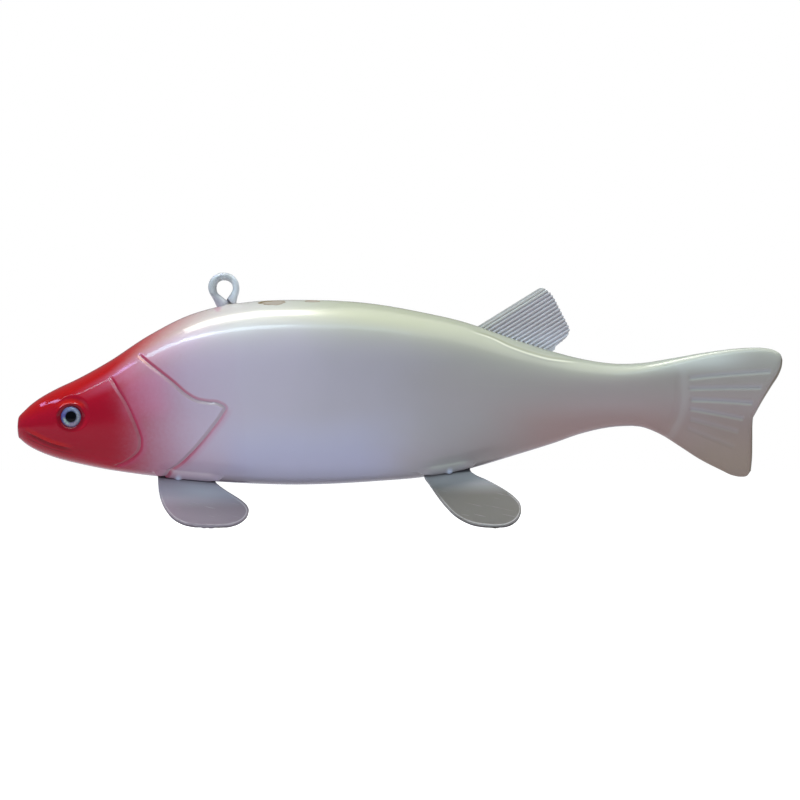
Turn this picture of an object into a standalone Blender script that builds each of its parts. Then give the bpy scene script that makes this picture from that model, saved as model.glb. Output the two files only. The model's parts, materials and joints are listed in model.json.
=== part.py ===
"""A carved and painted fish decoy that stands on its four splayed sheet-metal fins.

The wooden body is one carving. Its screw eye, crimped dorsal fin, side fins and glass eyes
are pieces of their own, set in it. Sizes are in millimetres: d is measured from the nose
towards the tail, y from the middle plane, z from the surface that the fins stand on.
"""

import bmesh
import bpy
from math import cos, dist, pi, radians, sin, sqrt, tan
from mathutils import Vector

MM = 0.001
LENGTH = 203.2  # nose to the tip of the tail
FIT = 0.3  # clearance round every piece that is set in the wood

# Body stations, nose to tail root: d, back z, belly z, half thickness, then how square the
# section is above and below its widest level (2 is an ellipse)
BODY = (
    (0.0, 27.8, 25.6, 1.1, 2.2, 2.2),
    (0.3, 29.4, 24.1, 2.3, 2.2, 2.2),
    (0.8, 30.1, 23.6, 3.2, 2.3, 2.3),
    (1.9, 31.2, 22.6, 4.4, 2.4, 2.4),
    (3.5, 32.7, 21.5, 5.6, 2.4, 2.5),
    (6.1, 34.6, 20.2, 7.0, 2.5, 2.6),
    (10.4, 37.0, 18.6, 8.6, 2.6, 2.8),
    (16.7, 40.0, 17.0, 10.1, 2.7, 3.1),
    (24.7, 44.5, 15.4, 11.4, 2.8, 3.5),
    (35.3, 51.4, 13.9, 12.5, 3.0, 4.0),
    (46.0, 56.7, 12.9, 13.1, 3.1, 4.4),
    (61.9, 60.1, 11.8, 13.3, 3.2, 4.6),
    (75.2, 60.6, 11.5, 13.1, 3.2, 4.6),
    (96.4, 59.3, 12.5, 12.2, 3.1, 4.4),
    (107.0, 57.4, 13.4, 11.5, 3.0, 4.2),
    (117.7, 55.0, 15.2, 10.5, 2.9, 3.9),
    (133.0, 49.8, 19.6, 8.6, 2.8, 3.5),
    (143.2, 46.6, 22.8, 7.1, 2.8, 3.2),
    (149.5, 45.0, 25.0, 6.3, 2.8, 3.1),
    (160.2, 43.6, 27.0, 5.1, 3.0, 3.1),
    (165.4, 43.8, 26.9, 4.6, 3.2, 3.3),
    (173.3, 45.0, 23.4, 3.75, 3.9, 4.0),
)
TAIL_START = 165.4  # the station past it only sets the slope with which the body runs into the tail

# Tail outline as (d, z): upper and lower edge from just ahead of the root to the corners, and
# the rear edge from corner to corner, with a shallow notch below its middle
TAIL_UPPER = (
    (160.2, 43.6), (165.4, 43.8), (173.3, 45.0), (181.3, 46.4), (189.2, 47.5), (194.6, 47.9),
    (198.5, 47.8), (201.3, 47.1), (202.7, 46.1), (203.2, 44.6),
)
TAIL_LOWER = (
    (160.2, 27.0), (165.4, 26.9), (170.7, 24.9), (176.0, 21.6), (181.3, 18.2), (186.6, 15.5),
    (189.8, 14.0), (191.9, 13.6), (193.7, 13.8), (194.8, 15.2),
)
TAIL_REAR = (
    (203.2, 44.6), (203.0, 42.8), (202.3, 40.9), (200.2, 37.5), (197.5, 33.1),
    (195.7, 29.9), (195.3, 28.3), (195.2, 23.4), (195.1, 18.1), (194.8, 15.2),
)
# Along the tail, from 0 to 1: half thickness and squareness of the section
TAIL_SECTION = ((0.0, 4.6, 3.2), (0.25, 3.5, 5.0), (0.6, 2.5, 7.5), (1.0, 1.9, 9.0))
TAIL_BOW = 1.6  # power with which the rear edge's shape fades out towards the root
RIM_START = 0.92  # where the tail's thickness begins to round off to its rear edge
RIM_DEPTH = 0.95

BODY_RINGS = 44
TAIL_RINGS = (0.08, 0.18, 0.3, 0.42, 0.54, 0.66, 0.78, 0.88, 0.94, 0.975, 1.0)
QUARTER = 8  # points from the widest level of a section to its ridge
HALVINGS = 24  # steps in the search for a place along a curve
SLOPE_REACH = 0.15  # distance either way over which the skin's slope is measured

# Carved lines on each flank, as (d, z) points along the foot of the cut
GILL_LINE = (
    (24.8, 40.4), (26.6, 37.2), (28.7, 33.8), (30.6, 29.9), (32.0, 26.4), (32.9, 23.2),
    (32.6, 20.8), (30.5, 18.5), (27.9, 17.0), (25.6, 16.2),
)
SHOULDER_LINE = (
    (32.0, 46.4), (35.0, 43.8), (38.3, 41.2), (41.8, 38.4), (44.8, 35.8), (47.6, 34.2),
    (50.4, 33.6), (53.6, 33.2), (55.4, 31.9), (54.6, 30.3), (51.9, 26.5), (49.0, 22.9),
    (46.0, 19.6), (43.0, 16.8), (40.4, 15.0),
)
MOUTH_LINE = (
    (0.0, 25.7), (2.3, 25.3), (4.4, 24.3), (7.3, 22.9), (10.0, 21.9), (12.9, 21.2), (15.8, 20.7),
)
TAIL_ROOT_LINE = ((174.9, 41.8), (175.6, 38.6), (175.7, 35.4), (175.2, 32.0), (174.0, 28.6), (172.3, 25.6))
TAIL_RAYS = (
    ((178.2, 39.9), (188.0, 40.9), (200.4, 41.8)),
    ((178.2, 37.2), (188.0, 37.4), (198.0, 37.5)),
    ((178.6, 34.3), (187.0, 33.9), (195.6, 33.3)),
    ((178.4, 31.9), (185.5, 30.6), (193.2, 29.1)),
    ((178.4, 29.2), (185.0, 27.4), (191.9, 25.5)),
    ((177.8, 26.8), (184.0, 24.2), (190.6, 21.5)),
)
# Sections of the V cuts, as (across, out of the wood)
GILL_CUT = ((-1.3, 0.6), (0.0, -0.75), (1.3, 0.6))
MOUTH_CUT = ((-0.8, 0.5), (0.0, -1.0), (0.8, 0.5))
TAIL_CUT = ((-0.75, 0.4), (0.0, -0.45), (0.75, 0.4))
GILL_SPACING, TAIL_ROOT_SPACING, RAY_SPACING = 2.4, 3.0, 5.0  # length of a cutter's segments
MOUTH_STEPS = 11  # from the nose to each corner of the mouth
LIP_CLOSING = 0.85  # how much shallower the mouth is at the nose
LIP_LENGTH = 3.0  # the mouth reaches its depth one part in this many from each end
TAPER = 3.5  # length over which a cut runs out at its end
CLEARING = 1.15  # a cutter's end is lifted by this much of its depth

# Eyes: domed glass seated in a dished socket
SOCKET_D, SOCKET_Z = 14.4, 29.7
SOCKET_RADIUS, SOCKET_DEPTH = 4.4, 1.4
SOCKET_STEPS, SOCKET_SEGMENTS = 16, 28
EYE_D, EYE_Z = 14.1, 29.5
EYE_RADIUS, EYE_DOME, EYE_STEM = 2.65, 1.1, 2.4
EYE_SINK = 0.1  # how far the eye's edge stands above the bottom of the socket
EYE_WALL = 0.2  # height of its rim under the dome
EYE_FOOT_SHARE, EYE_TAPER_SHARE = 0.8, 0.5  # radius at the foot, and length of the taper up from it
EYE_STEPS, EYE_SEGMENTS = 6, 24
EYE_HOLE_REACH = 1.5  # how far the cutter for the eye's seat stands out of the wood

# Screw eye: wire that rises from the back, curls round and comes down again beside its shank
WIRE = 1.1
WIRE_FLATS = 8
WIRE_CORNER = WIRE / cos(pi / WIRE_FLATS)  # the round wire just fits inside its flats
LOOP_RADIUS = 3.15
LOOP_D, LOOP_Z = 54.9, 63.65
LOOP_STEP = 15.0
LOOP_FROM, LOOP_TO = 217.5, -22.5
LOOP_RUN = 2.25  # length of the straight end, which stops short of the back
SHANK_D, SHANK_FOOT = 54.7, 50.0
SHANK_BEND = 59.0
SHANK_HOLE_SEGMENTS = 16

# Dorsal fin: crimped sheet, with its flutes parallel to its front edge
FLUTE_ANGLE = 31.8
FLUTE_PITCH = 1.0
FRONT_RIB = 1.1
FRONT_FLAT = 0.88  # width of the flat part of the front rib
FLUTES = 14
REAR_HEM = 1.0
CRIMP = 0.36  # half the height of the crimp
TOOTH = 0.3  # how far a flute's crest reaches past its foot at the rear edge
SHORTEST_FLUTE = 0.8
DORSAL_SHEET = 0.6
DORSAL_ROOT = ((122.4, 53.7), (142.8, 46.9))
DORSAL_TONGUE = 3.4  # length of sheet below the back, along the flutes
DORSAL_REAR = (
    (137.6, 63.4), (139.3, 63.8), (140.4, 63.4), (141.3, 62.8), (142.0, 62.0), (142.7, 60.9),
    (146.5, 53.5), (146.7, 52.7), (146.5, 51.8), (145.7, 50.6), (144.6, 49.6),
    (142.9, 48.2), (142.6, 46.8),
)

# Side fins: flat sheet, splayed from the vertical. Each outline is (d, z) as seen from the
# side, from the front of the root round to its rear
FIN_SHEET = 0.9
FIN_SPLAY = 40.0
FIN_TONGUE = 4.4  # height of sheet above the root line
SLOT_REACH = 1.5  # how far the cutter for a fin's slot stands out of the wood
OUTLINE_SPACING = 1.9
PECTORAL_ROOT_Y = 6.4
PECTORAL = (
    (37.4, 13.2), (37.6, 10.3), (38.2, 7.7), (39.6, 4.9), (41.5, 2.7), (44.2, 1.2),
    (47.3, 0.5), (50.6, 0.3), (53.9, 0.3), (56.8, 0.6), (59.3, 1.5), (60.9, 3.0),
    (61.3, 4.4), (60.8, 5.6), (59.7, 6.7), (57.4, 8.3), (55.2, 9.7), (53.4, 10.9), (53.2, 11.7),
)
PELVIC_ROOT_Y = 5.6
PELVIC = (
    (108.0, 13.7), (109.2, 11.9), (110.8, 9.6), (112.4, 7.4), (114.1, 5.4), (115.7, 3.8),
    (117.9, 2.3), (120.6, 1.1), (123.8, 0.5), (127.1, 0.3), (129.8, 0.6), (131.8, 1.5),
    (133.1, 2.9), (133.7, 4.7), (133.3, 6.4), (132.0, 7.9), (129.8, 9.6), (127.6, 10.9),
    (124.6, 12.5), (121.6, 13.9), (120.4, 14.8),
)

# Each finish: screen colour, roughness, metallic
FINISHES = {
    "painted_wood": ((0.64, 0.63, 0.68), 0.35, 0.0),
    "painted_tin": ((0.52, 0.51, 0.55), 0.42, 0.55),
    "crimped_tin": ((0.58, 0.62, 0.68), 0.38, 0.6),
    "painted_wire": ((0.66, 0.73, 0.79), 0.3, 0.7),
    "glass_eye": ((0.62, 0.70, 0.74), 0.08, 0.2),
}
SHARP_ANGLE, DOME_SHARP_ANGLE = 30.0, 60.0


def cubic(rows, at):
    """Smooth curve through rows whose first column is the parameter; gives the others."""
    last = len(rows) - 1
    i = 0
    while i < last - 1 and at > rows[i + 1][0]:
        i += 1
    start, end = rows[i], rows[i + 1]
    span = end[0] - start[0]
    t = (at - start[0]) / span
    values = []
    for c in range(1, len(start)):
        rise = (end[c] - start[c]) / span
        leave = arrive = rise
        if i > 0:
            before = rows[i - 1]
            gap = start[0] - before[0]
            leave = (gap * rise + span * (start[c] - before[c]) / gap) / (gap + span)
        if i + 2 <= last:
            after = rows[i + 2]
            gap = after[0] - end[0]
            arrive = (gap * rise + span * (after[c] - end[c]) / gap) / (gap + span)
        values.append(
            (2 * t**3 - 3 * t**2 + 1) * start[c] + (t**3 - 2 * t**2 + t) * span * leave
            + (3 * t**2 - 2 * t**3) * end[c] + (t**3 - t**2) * span * arrive
        )
    return values


def lengths_along(points):
    """Length run at each point of a line."""
    lengths = [0.0]
    for a, b in zip(points, points[1:]):
        lengths.append(lengths[-1] + dist(a, b))
    return lengths


def by_length(points, start=0):
    """The points as rows for cubic(), with the length in front: 0 at the start point, 1 at the last."""
    lengths = lengths_along(points)
    whole = lengths[-1] - lengths[start]
    return [((length - lengths[start]) / whole, *point) for length, point in zip(lengths, points)]


def run_along(points, spacing):
    """Points along the smooth curve through a line's points, about the spacing apart."""
    rows = by_length(points)
    count = max(2, round(lengths_along(points)[-1] / spacing))
    return [tuple(cubic(rows, k / count)) for k in range(count + 1)]


BODY_ROWS = [(sqrt(row[0]), *row[1:]) for row in BODY]
UPPER_ROWS, LOWER_ROWS, REAR_ROWS = by_length(TAIL_UPPER, 1), by_length(TAIL_LOWER, 1), by_length(TAIL_REAR)


def squared(half, s, square):
    """Half thickness at s, from 0 at the widest level to 1 at the ridge."""
    return half * sqrt(max(0.0, 1.0 - abs(s) ** square))


def tail_place(w, s):
    """(d, z) on the tail: w from root to rear edge, s from 1 at the upper edge to -1."""
    t = (1.0 - s) / 2.0
    upper, lower = Vector(cubic(UPPER_ROWS, w)), Vector(cubic(LOWER_ROWS, w))
    bow = Vector(cubic(REAR_ROWS, t)) - Vector(TAIL_REAR[0]).lerp(Vector(TAIL_REAR[-1]), t)
    return upper.lerp(lower, t) + bow * w**TAIL_BOW


def tail_half(w, s):
    """Half thickness of the tail at w and s, with its rear edge rounded over."""
    half, square = cubic(TAIL_SECTION, w)
    past_rim = max(0.0, (w - RIM_START) / (1.0 - RIM_START))
    return squared(half, s, square) * sqrt(1.0 - RIM_DEPTH * past_rim**2)


def body_half(d, z):
    """Half thickness of the body at (d, z), ahead of the tail."""
    back, belly, half, square_up, square_down = cubic(BODY_ROWS, sqrt(d))
    s = (z - (back + belly) / 2.0) / ((back - belly) / 2.0)
    return squared(half, min(1.0, abs(s)), square_up if s > 0 else square_down)


def half_thickness(d, z):
    """Half thickness of the carving at (d, z)."""
    if d <= TAIL_START:
        return body_half(max(d, 0.0), z)
    near, far = 0.0, 1.0
    s = 0.0
    for _ in range(HALVINGS):
        w = (near + far) / 2.0
        upper, lower = cubic(UPPER_ROWS, w)[1], cubic(LOWER_ROWS, w)[1]
        s = 2.0 * (z - lower) / (upper - lower) - 1.0
        near, far = (w, far) if tail_place(w, s)[0] < d else (near, w)
    return tail_half(near, s)


def skin(d, z):
    """Point and outward normal on the +Y flank at (d, z)."""
    reach = SLOPE_REACH
    along = (half_thickness(d + reach, z) - half_thickness(d - reach, z)) / (2 * reach)
    up = (half_thickness(d, z + reach) - half_thickness(d, z - reach)) / (2 * reach)
    return Vector((d, half_thickness(d, z), z)), Vector((-along, 1.0, -up)).normalized()


def material(name):
    """Principled material of one of the finishes."""
    colour, roughness, metallic = FINISHES[name]
    paint = bpy.data.materials.new(name)
    paint.use_nodes = True
    shader = paint.node_tree.nodes["Principled BSDF"]
    linear = [((c + 0.055) / 1.055) ** 2.4 if c > 0.04045 else c / 12.92 for c in colour]
    shader.inputs["Base Color"].default_value = (*linear, 1.0)
    shader.inputs["Roughness"].default_value = roughness
    shader.inputs["Metallic"].default_value = metallic
    paint.diffuse_color = (*linear, 1.0)
    return paint


def solid(name, points, faces, finish=None, angle=SHARP_ANGLE):
    """Object from points in millimetres, with d turned into x about the middle."""
    mesh = bpy.data.meshes.new(name)
    mesh.from_pydata([((p[0] - LENGTH / 2) * MM, p[1] * MM, p[2] * MM) for p in points], [], faces)
    shape = bmesh.new()
    shape.from_mesh(mesh)
    bmesh.ops.recalc_face_normals(shape, faces=shape.faces)
    shape.to_mesh(mesh)
    shape.free()
    mesh.shade_smooth()
    mesh.set_sharp_from_angle(angle=radians(angle))
    piece = bpy.data.objects.new(name, mesh)
    bpy.context.collection.objects.link(piece)
    if finish:
        mesh.materials.append(finish)
    return piece


def tube_faces(rings, around, capped=True):
    """Faces of a tube of rings with the same number of points around."""
    faces = []
    for r in range(rings - 1):
        for k in range(around):
            a, b = r * around + k, r * around + (k + 1) % around
            faces.append((a, b, b + around, a + around))
    if capped:
        faces.append(tuple(reversed(range(around))))
        faces.append(tuple(range((rings - 1) * around, rings * around)))
    return faces


def mirrored(points, faces):
    """The same shape on the other flank."""
    return [(p[0], -p[1], p[2]) for p in points], [tuple(reversed(f)) for f in faces]


class Cutter:
    """Closed shapes gathered in one mesh, to be cut out of the body together."""

    def __init__(self, name):
        self.name, self.points, self.faces = name, [], []

    def add(self, points, faces):
        base = len(self.points)
        self.points += [tuple(p) for p in points]
        self.faces += [tuple(base + k for k in f) for f in faces]

    def add_both(self, points, faces):
        self.add(points, faces)
        self.add(*mirrored(points, faces))

    def cut(self, target):
        tool = solid(self.name, self.points, self.faces)
        tool.hide_render = True
        tool.display_type = "WIRE"
        carve = target.modifiers.new(self.name, "BOOLEAN")
        carve.operation = "DIFFERENCE"
        carve.object = tool


def carved_line(line, section, spacing, taper_start=True):
    """Cutter that follows a line of (d, z) points over the +Y flank."""
    path = run_along(line, spacing)
    lengths = lengths_along(path)
    points = []
    deep = -min(out for _, out in section)
    for k, (d, z) in enumerate(path):
        ahead, behind = path[min(k + 1, len(path) - 1)], path[max(k - 1, 0)]
        surface, normal = skin(d, z)
        course = Vector((ahead[0] - behind[0], 0.0, ahead[1] - behind[1])).normalized()
        across = Vector((-course.z, 0.0, course.x))
        across = (across - normal * across.dot(normal)).normalized()
        run_out = min(1.0, (lengths[-1] - lengths[k]) / TAPER)
        if taper_start:
            run_out = min(run_out, lengths[k] / TAPER)
        lift = deep * (1.0 - run_out) * CLEARING
        points += [surface + across * side + normal * (out + lift) for side, out in section]
    return points, tube_faces(len(path), len(section))


def mouth_cut():
    """Cutter for the mouth, from one corner round the nose to the other."""
    rows = by_length(MOUTH_LINE)
    corner = MOUTH_LINE[-1][0]
    path = []
    for k in range(-MOUTH_STEPS, MOUTH_STEPS + 1):
        d = corner * (k / MOUTH_STEPS) ** 2
        near, far = 0.0, 1.0
        for _ in range(HALVINGS):
            t = (near + far) / 2.0
            near, far = (t, far) if cubic(rows, t)[0] < d else (near, t)
        z = cubic(rows, near)[1]
        side = half_thickness(d, z) if k else 0.0
        path.append(Vector((d, side if k > 0 else -side, z)))
    points = []
    for k, place in enumerate(path):
        course = (path[min(k + 1, len(path) - 1)] - path[max(k - 1, 0)]).normalized()
        out = Vector((-course.y, course.x, 0.0)).normalized()
        up = out.cross(course).normalized()
        back = abs(k - MOUTH_STEPS) / MOUTH_STEPS
        run_out = min(1.0, (1.0 - back) * LIP_LENGTH, 1.0 - LIP_CLOSING * (1.0 - LIP_LENGTH * back))
        lift = -MOUTH_CUT[1][1] * (1.0 - run_out) * CLEARING
        points += [place + up * side + out * (deep + lift) for side, deep in MOUTH_CUT]
    return points, tube_faces(len(path), len(MOUTH_CUT))


def turned(centre, axis, profile, segments):
    """Solid turned about an axis, from (radius, distance along the axis) points between poles."""
    side = axis.orthogonal().normalized()
    other = axis.cross(side)
    points, count = [], len(profile) - 2
    for radius, along in profile[1:-1]:
        for k in range(segments):
            turn = 2 * pi * k / segments
            points.append(centre + axis * along + (side * cos(turn) + other * sin(turn)) * radius)
    faces = tube_faces(count, segments, capped=False)
    points += [centre + axis * profile[0][1], centre + axis * profile[-1][1]]
    first, last = len(points) - 2, len(points) - 1
    for k in range(segments):
        after = (k + 1) % segments
        faces.append((first, after, k))
        faces.append((last, (count - 1) * segments + k, (count - 1) * segments + after))
    return points, faces


def make_body(finish):
    """The carving: rings from the nose to the rear edge of the tail."""
    levels = [sin(pi / 2 * k / QUARTER) for k in range(QUARTER, -QUARTER - 1, -1)]
    rings = []
    for k in range(BODY_RINGS + 1):
        at = sqrt(TAIL_START) * k / BODY_RINGS
        back, belly, half, square_up, square_down = cubic(BODY_ROWS, at)
        middle, reach = (back + belly) / 2.0, (back - belly) / 2.0
        rings.append([
            (at**2, squared(half, s, square_up if s > 0 else square_down), middle + reach * s)
            for s in levels
        ])
    for w in TAIL_RINGS:
        ring = []
        for s in levels:
            d, z = tail_place(w, s)
            ring.append((d, tail_half(w, s), z))
        rings.append(ring)
    points = []
    for ring in rings:
        points += ring
        points += [(d, -y, z) for d, y, z in reversed(ring[1:-1])]
    around, steps = 4 * QUARTER, 2 * QUARTER
    faces = tube_faces(len(rings), around, capped=False)
    for base, flip in ((0, True), ((len(rings) - 1) * around, False)):
        for k in range(steps):
            strip = [base + k, base + k + 1, base + (around - k - 1) % around, base + (around - k) % around]
            strip = list(dict.fromkeys(strip))
            faces.append(tuple(reversed(strip)) if flip else tuple(strip))
    return solid("body", points, faces, finish)


def carve_body(body):
    """Gill lines, mouth, eye sockets and tail rays."""
    carving = Cutter("carving_cutter")
    carving.add_both(*carved_line(GILL_LINE, GILL_CUT, GILL_SPACING))
    carving.add_both(*carved_line(SHOULDER_LINE, GILL_CUT, GILL_SPACING))
    carving.add_both(*carved_line(TAIL_ROOT_LINE, TAIL_CUT, TAIL_ROOT_SPACING))
    for ray in TAIL_RAYS:
        carving.add_both(*carved_line(ray, TAIL_CUT, RAY_SPACING, taper_start=False))
    carving.add(*mouth_cut())
    place, normal = skin(SOCKET_D, SOCKET_Z)
    ball = (SOCKET_RADIUS**2 + SOCKET_DEPTH**2) / (2 * SOCKET_DEPTH)
    turns = [pi * k / SOCKET_STEPS for k in range(SOCKET_STEPS + 1)]
    profile = [(ball * sin(turn), -ball * cos(turn)) for turn in turns]
    carving.add_both(*turned(place + normal * (ball - SOCKET_DEPTH), normal, profile, SOCKET_SEGMENTS))
    carving.cut(body)


def eye_seat():
    """Point on the bottom of the socket under the eye, and the direction that it looks."""
    place, normal = skin(EYE_D, EYE_Z)
    return place - normal * (SOCKET_DEPTH - EYE_SINK), normal


def fit_body(body):
    """Seats for the pieces that are set in the wood."""
    seats = Cutter("seat_cutter")
    seat, normal = eye_seat()
    radius, depth = EYE_RADIUS + FIT, EYE_STEM + FIT
    hole = [(0, -depth), (radius, -depth), (radius, EYE_HOLE_REACH), (0, EYE_HOLE_REACH)]
    seats.add_both(*turned(seat, normal, hole, EYE_SEGMENTS))
    foot = Vector((SHANK_D, 0.0, SHANK_FOOT - FIT))
    radius, depth = WIRE_CORNER + FIT, LOOP_Z - LOOP_RADIUS - SHANK_FOOT
    hole = [(0, 0), (radius, 0), (radius, depth), (0, depth)]
    seats.add(*turned(foot, Vector((0, 0, 1)), hole, SHANK_HOLE_SEGMENTS))
    for outline, root_y in ((PECTORAL, PECTORAL_ROOT_Y), (PELVIC, PELVIC_ROOT_Y)):
        front, rear = outline[0], outline[-1]
        slot = [
            (front[0] - FIT, front[1] - SLOT_REACH), (front[0] - FIT, front[1] + FIN_TONGUE + FIT),
            (rear[0] + FIT, rear[1] + FIN_TONGUE + FIT), (rear[0] + FIT, rear[1] - SLOT_REACH),
        ]
        seats.add_both(*splayed(slot, outline, root_y, FIN_SHEET + 2 * FIT))
    seats.add(*dorsal_slot())
    seats.cut(body)


def splayed(shape, outline, root_y, thickness):
    """Flat prism on the fin's splayed plane, from a shape of (d, z) points seen from the side."""
    (front_d, front_z), (rear_d, rear_z) = outline[0], outline[-1]
    splay = radians(FIN_SPLAY)
    normal = Vector((0.0, cos(splay), sin(splay))) * thickness / 2
    inner, outer = [], []
    for d, z in shape:
        root_z = front_z + (rear_z - front_z) * (d - front_d) / (rear_d - front_d)
        place = Vector((d, root_y + (root_z - z) * tan(splay), z))
        inner.append(place - normal)
        outer.append(place + normal)
    count = len(shape)
    area = sum(a[0] * b[1] - b[0] * a[1] for a, b in zip(shape, shape[1:] + shape[:1]))
    faces = [tuple(range(count)), tuple(reversed(range(count, 2 * count)))]
    faces += [(k, k + count, (k + 1) % count + count, (k + 1) % count) for k in range(count)]
    if area < 0:
        faces = [tuple(reversed(face)) for face in faces]
    return inner + outer, faces


def make_side_fins(name, outline, root_y, finish):
    """A pair of fins: smooth outline below the root, square tongue above it."""
    shape = [(outline[0][0], outline[0][1] + FIN_TONGUE)]
    shape += run_along(outline, OUTLINE_SPACING)
    shape += [(outline[-1][0], outline[-1][1] + FIN_TONGUE)]
    lowest = min(z for _, z in shape)
    lift = FIN_SHEET / 2 * sin(radians(FIN_SPLAY)) - lowest
    points, faces = splayed([(d, z + lift) for d, z in shape], outline, root_y, FIN_SHEET)
    solid(name + "_right", points, faces, finish)
    solid(name + "_left", *mirrored(points, faces), finish)


def flute_axes():
    """Directions along the flutes and across them, towards the rear of the fin."""
    turn = radians(FLUTE_ANGLE)
    return Vector((cos(turn), 0.0, sin(turn))), Vector((sin(turn), 0.0, -cos(turn)))


def flute_line(across):
    """Where the line that far across the flutes meets the root line, as a point."""
    over = flute_axes()[1]
    (front_d, front_z), (rear_d, rear_z) = DORSAL_ROOT
    front = Vector((front_d, 0.0, front_z))
    root = Vector((rear_d - front_d, 0.0, rear_z - front_z))
    return front + root * (across / root.dot(over))


def flute_end(across):
    """Length of the flute that far across, from the root line to the rear outline."""
    along, over = flute_axes()
    start = flute_line(across)
    for (d0, z0), (d1, z1) in zip(DORSAL_REAR, DORSAL_REAR[1:]):
        a, b = Vector((d0, 0.0, z0)) - start, Vector((d1, 0.0, z1)) - start
        if a.dot(over) <= 0.0 <= b.dot(over):
            return a.lerp(b, a.dot(over) / (a.dot(over) - b.dot(over))).dot(along)
    return SHORTEST_FLUTE


def make_dorsal_fin(finish):
    """Crimped sheet: a plain front rib, then flutes that each end in a small tooth."""
    along = flute_axes()[0]
    lines = [(0.0, 0.0), (FRONT_FLAT, 0.0)]
    for k in range(FLUTES):
        lines.append((FRONT_RIB + k * FLUTE_PITCH, -CRIMP))
        lines.append((FRONT_RIB + (k + 0.5) * FLUTE_PITCH, CRIMP))
    lines.append((FRONT_RIB + FLUTES * FLUTE_PITCH, -CRIMP))
    lines.append((FRONT_RIB + FLUTES * FLUTE_PITCH + REAR_HEM, 0.0))
    points = []
    for across, crimp in lines:
        root = flute_line(across) - along * DORSAL_TONGUE
        end = flute_line(across) + along * (flute_end(across) - (TOOTH if crimp < 0 else 0.0))
        for y in (crimp - DORSAL_SHEET / 2, crimp + DORSAL_SHEET / 2):
            points += [(root.x, y, root.z), (end.x, y, end.z)]
    faces = []
    for k in range(len(lines) - 1):
        a, b = 4 * k, 4 * k + 4
        faces += [(a, b, b + 1, a + 1), (a + 2, a + 3, b + 3, b + 2)]
        faces += [(a, a + 2, b + 2, b), (a + 1, b + 1, b + 3, a + 3)]
    last = 4 * (len(lines) - 1)
    faces += [(0, 1, 3, 2), (last, last + 2, last + 3, last + 1)]
    solid("dorsal_fin", points, faces, finish)


def dorsal_slot():
    """Cutter for the slot that takes the dorsal fin's lower edge."""
    along = flute_axes()[0]
    width = CRIMP + DORSAL_SHEET / 2 + FIT
    across_end = FRONT_RIB + FLUTES * FLUTE_PITCH + REAR_HEM
    shape = []
    for across, reach in ((-FIT, -1), (-FIT, 1), (across_end + FIT, 1), (across_end + FIT, -1)):
        shape.append(flute_line(across) + along * (reach * (DORSAL_TONGUE + FIT)))
    points = [(p.x, -width, p.z) for p in shape] + [(p.x, width, p.z) for p in shape]
    faces = [(0, 1, 2, 3), (7, 6, 5, 4)] + [(k, k + 4, (k + 1) % 4 + 4, (k + 1) % 4) for k in range(4)]
    return points, faces


def make_screw_eye(finish):
    """Wire with eight flats, one of them square to the line's pull at the top of the loop."""
    centre = Vector((LOOP_D, 0.0, LOOP_Z))
    path = [Vector((SHANK_D, 0.0, SHANK_FOOT)), Vector((SHANK_D, 0.0, SHANK_BEND))]
    for k in range(round((LOOP_FROM - LOOP_TO) / LOOP_STEP) + 1):
        turn = radians(LOOP_FROM - k * LOOP_STEP)
        path.append(centre + Vector((cos(turn), 0.0, sin(turn))) * LOOP_RADIUS)
    last = radians(LOOP_TO)
    path.append(path[-1] + Vector((sin(last), 0.0, -cos(last))) * LOOP_RUN)
    points = []
    for k, place in enumerate(path):
        ahead, behind = path[min(k + 1, len(path) - 1)], path[max(k - 1, 0)]
        course = ((ahead - place).normalized() + (place - behind).normalized()).normalized()
        inward = Vector((course.z, 0.0, -course.x))
        for j in range(WIRE_FLATS):
            turn = 2 * pi * (j + 0.5) / WIRE_FLATS
            points.append(place + (inward * cos(turn) + Vector((0, 1, 0)) * sin(turn)) * WIRE_CORNER)
    solid("screw_eye", points, tube_faces(len(path), WIRE_FLATS), finish)


def make_eyes(finish):
    """Glass eyes: a short stem with a domed front."""
    seat, normal = eye_seat()
    profile = [(0.0, -EYE_STEM), (EYE_RADIUS * EYE_FOOT_SHARE, -EYE_STEM)]
    profile.append((EYE_RADIUS, -EYE_STEM * EYE_TAPER_SHARE))
    for k in range(EYE_STEPS):
        turn = pi / 2 * k / EYE_STEPS
        profile.append((EYE_RADIUS * cos(turn), EYE_WALL + EYE_DOME * sin(turn)))
    profile.append((0.0, EYE_WALL + EYE_DOME))
    points, faces = turned(seat, normal, profile, EYE_SEGMENTS)
    solid("eye_right", points, faces, finish, DOME_SHARP_ANGLE)
    solid("eye_left", *mirrored(points, faces), finish, DOME_SHARP_ANGLE)


def main():
    for old in list(bpy.data.objects):
        bpy.data.objects.remove(old)
    body = make_body(material("painted_wood"))
    carve_body(body)
    fit_body(body)
    painted_tin = material("painted_tin")
    make_side_fins("pectoral_fin", PECTORAL, PECTORAL_ROOT_Y, painted_tin)
    make_side_fins("pelvic_fin", PELVIC, PELVIC_ROOT_Y, painted_tin)
    make_dorsal_fin(material("crimped_tin"))
    make_screw_eye(material("painted_wire"))
    make_eyes(material("glass_eye"))


main()
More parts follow.
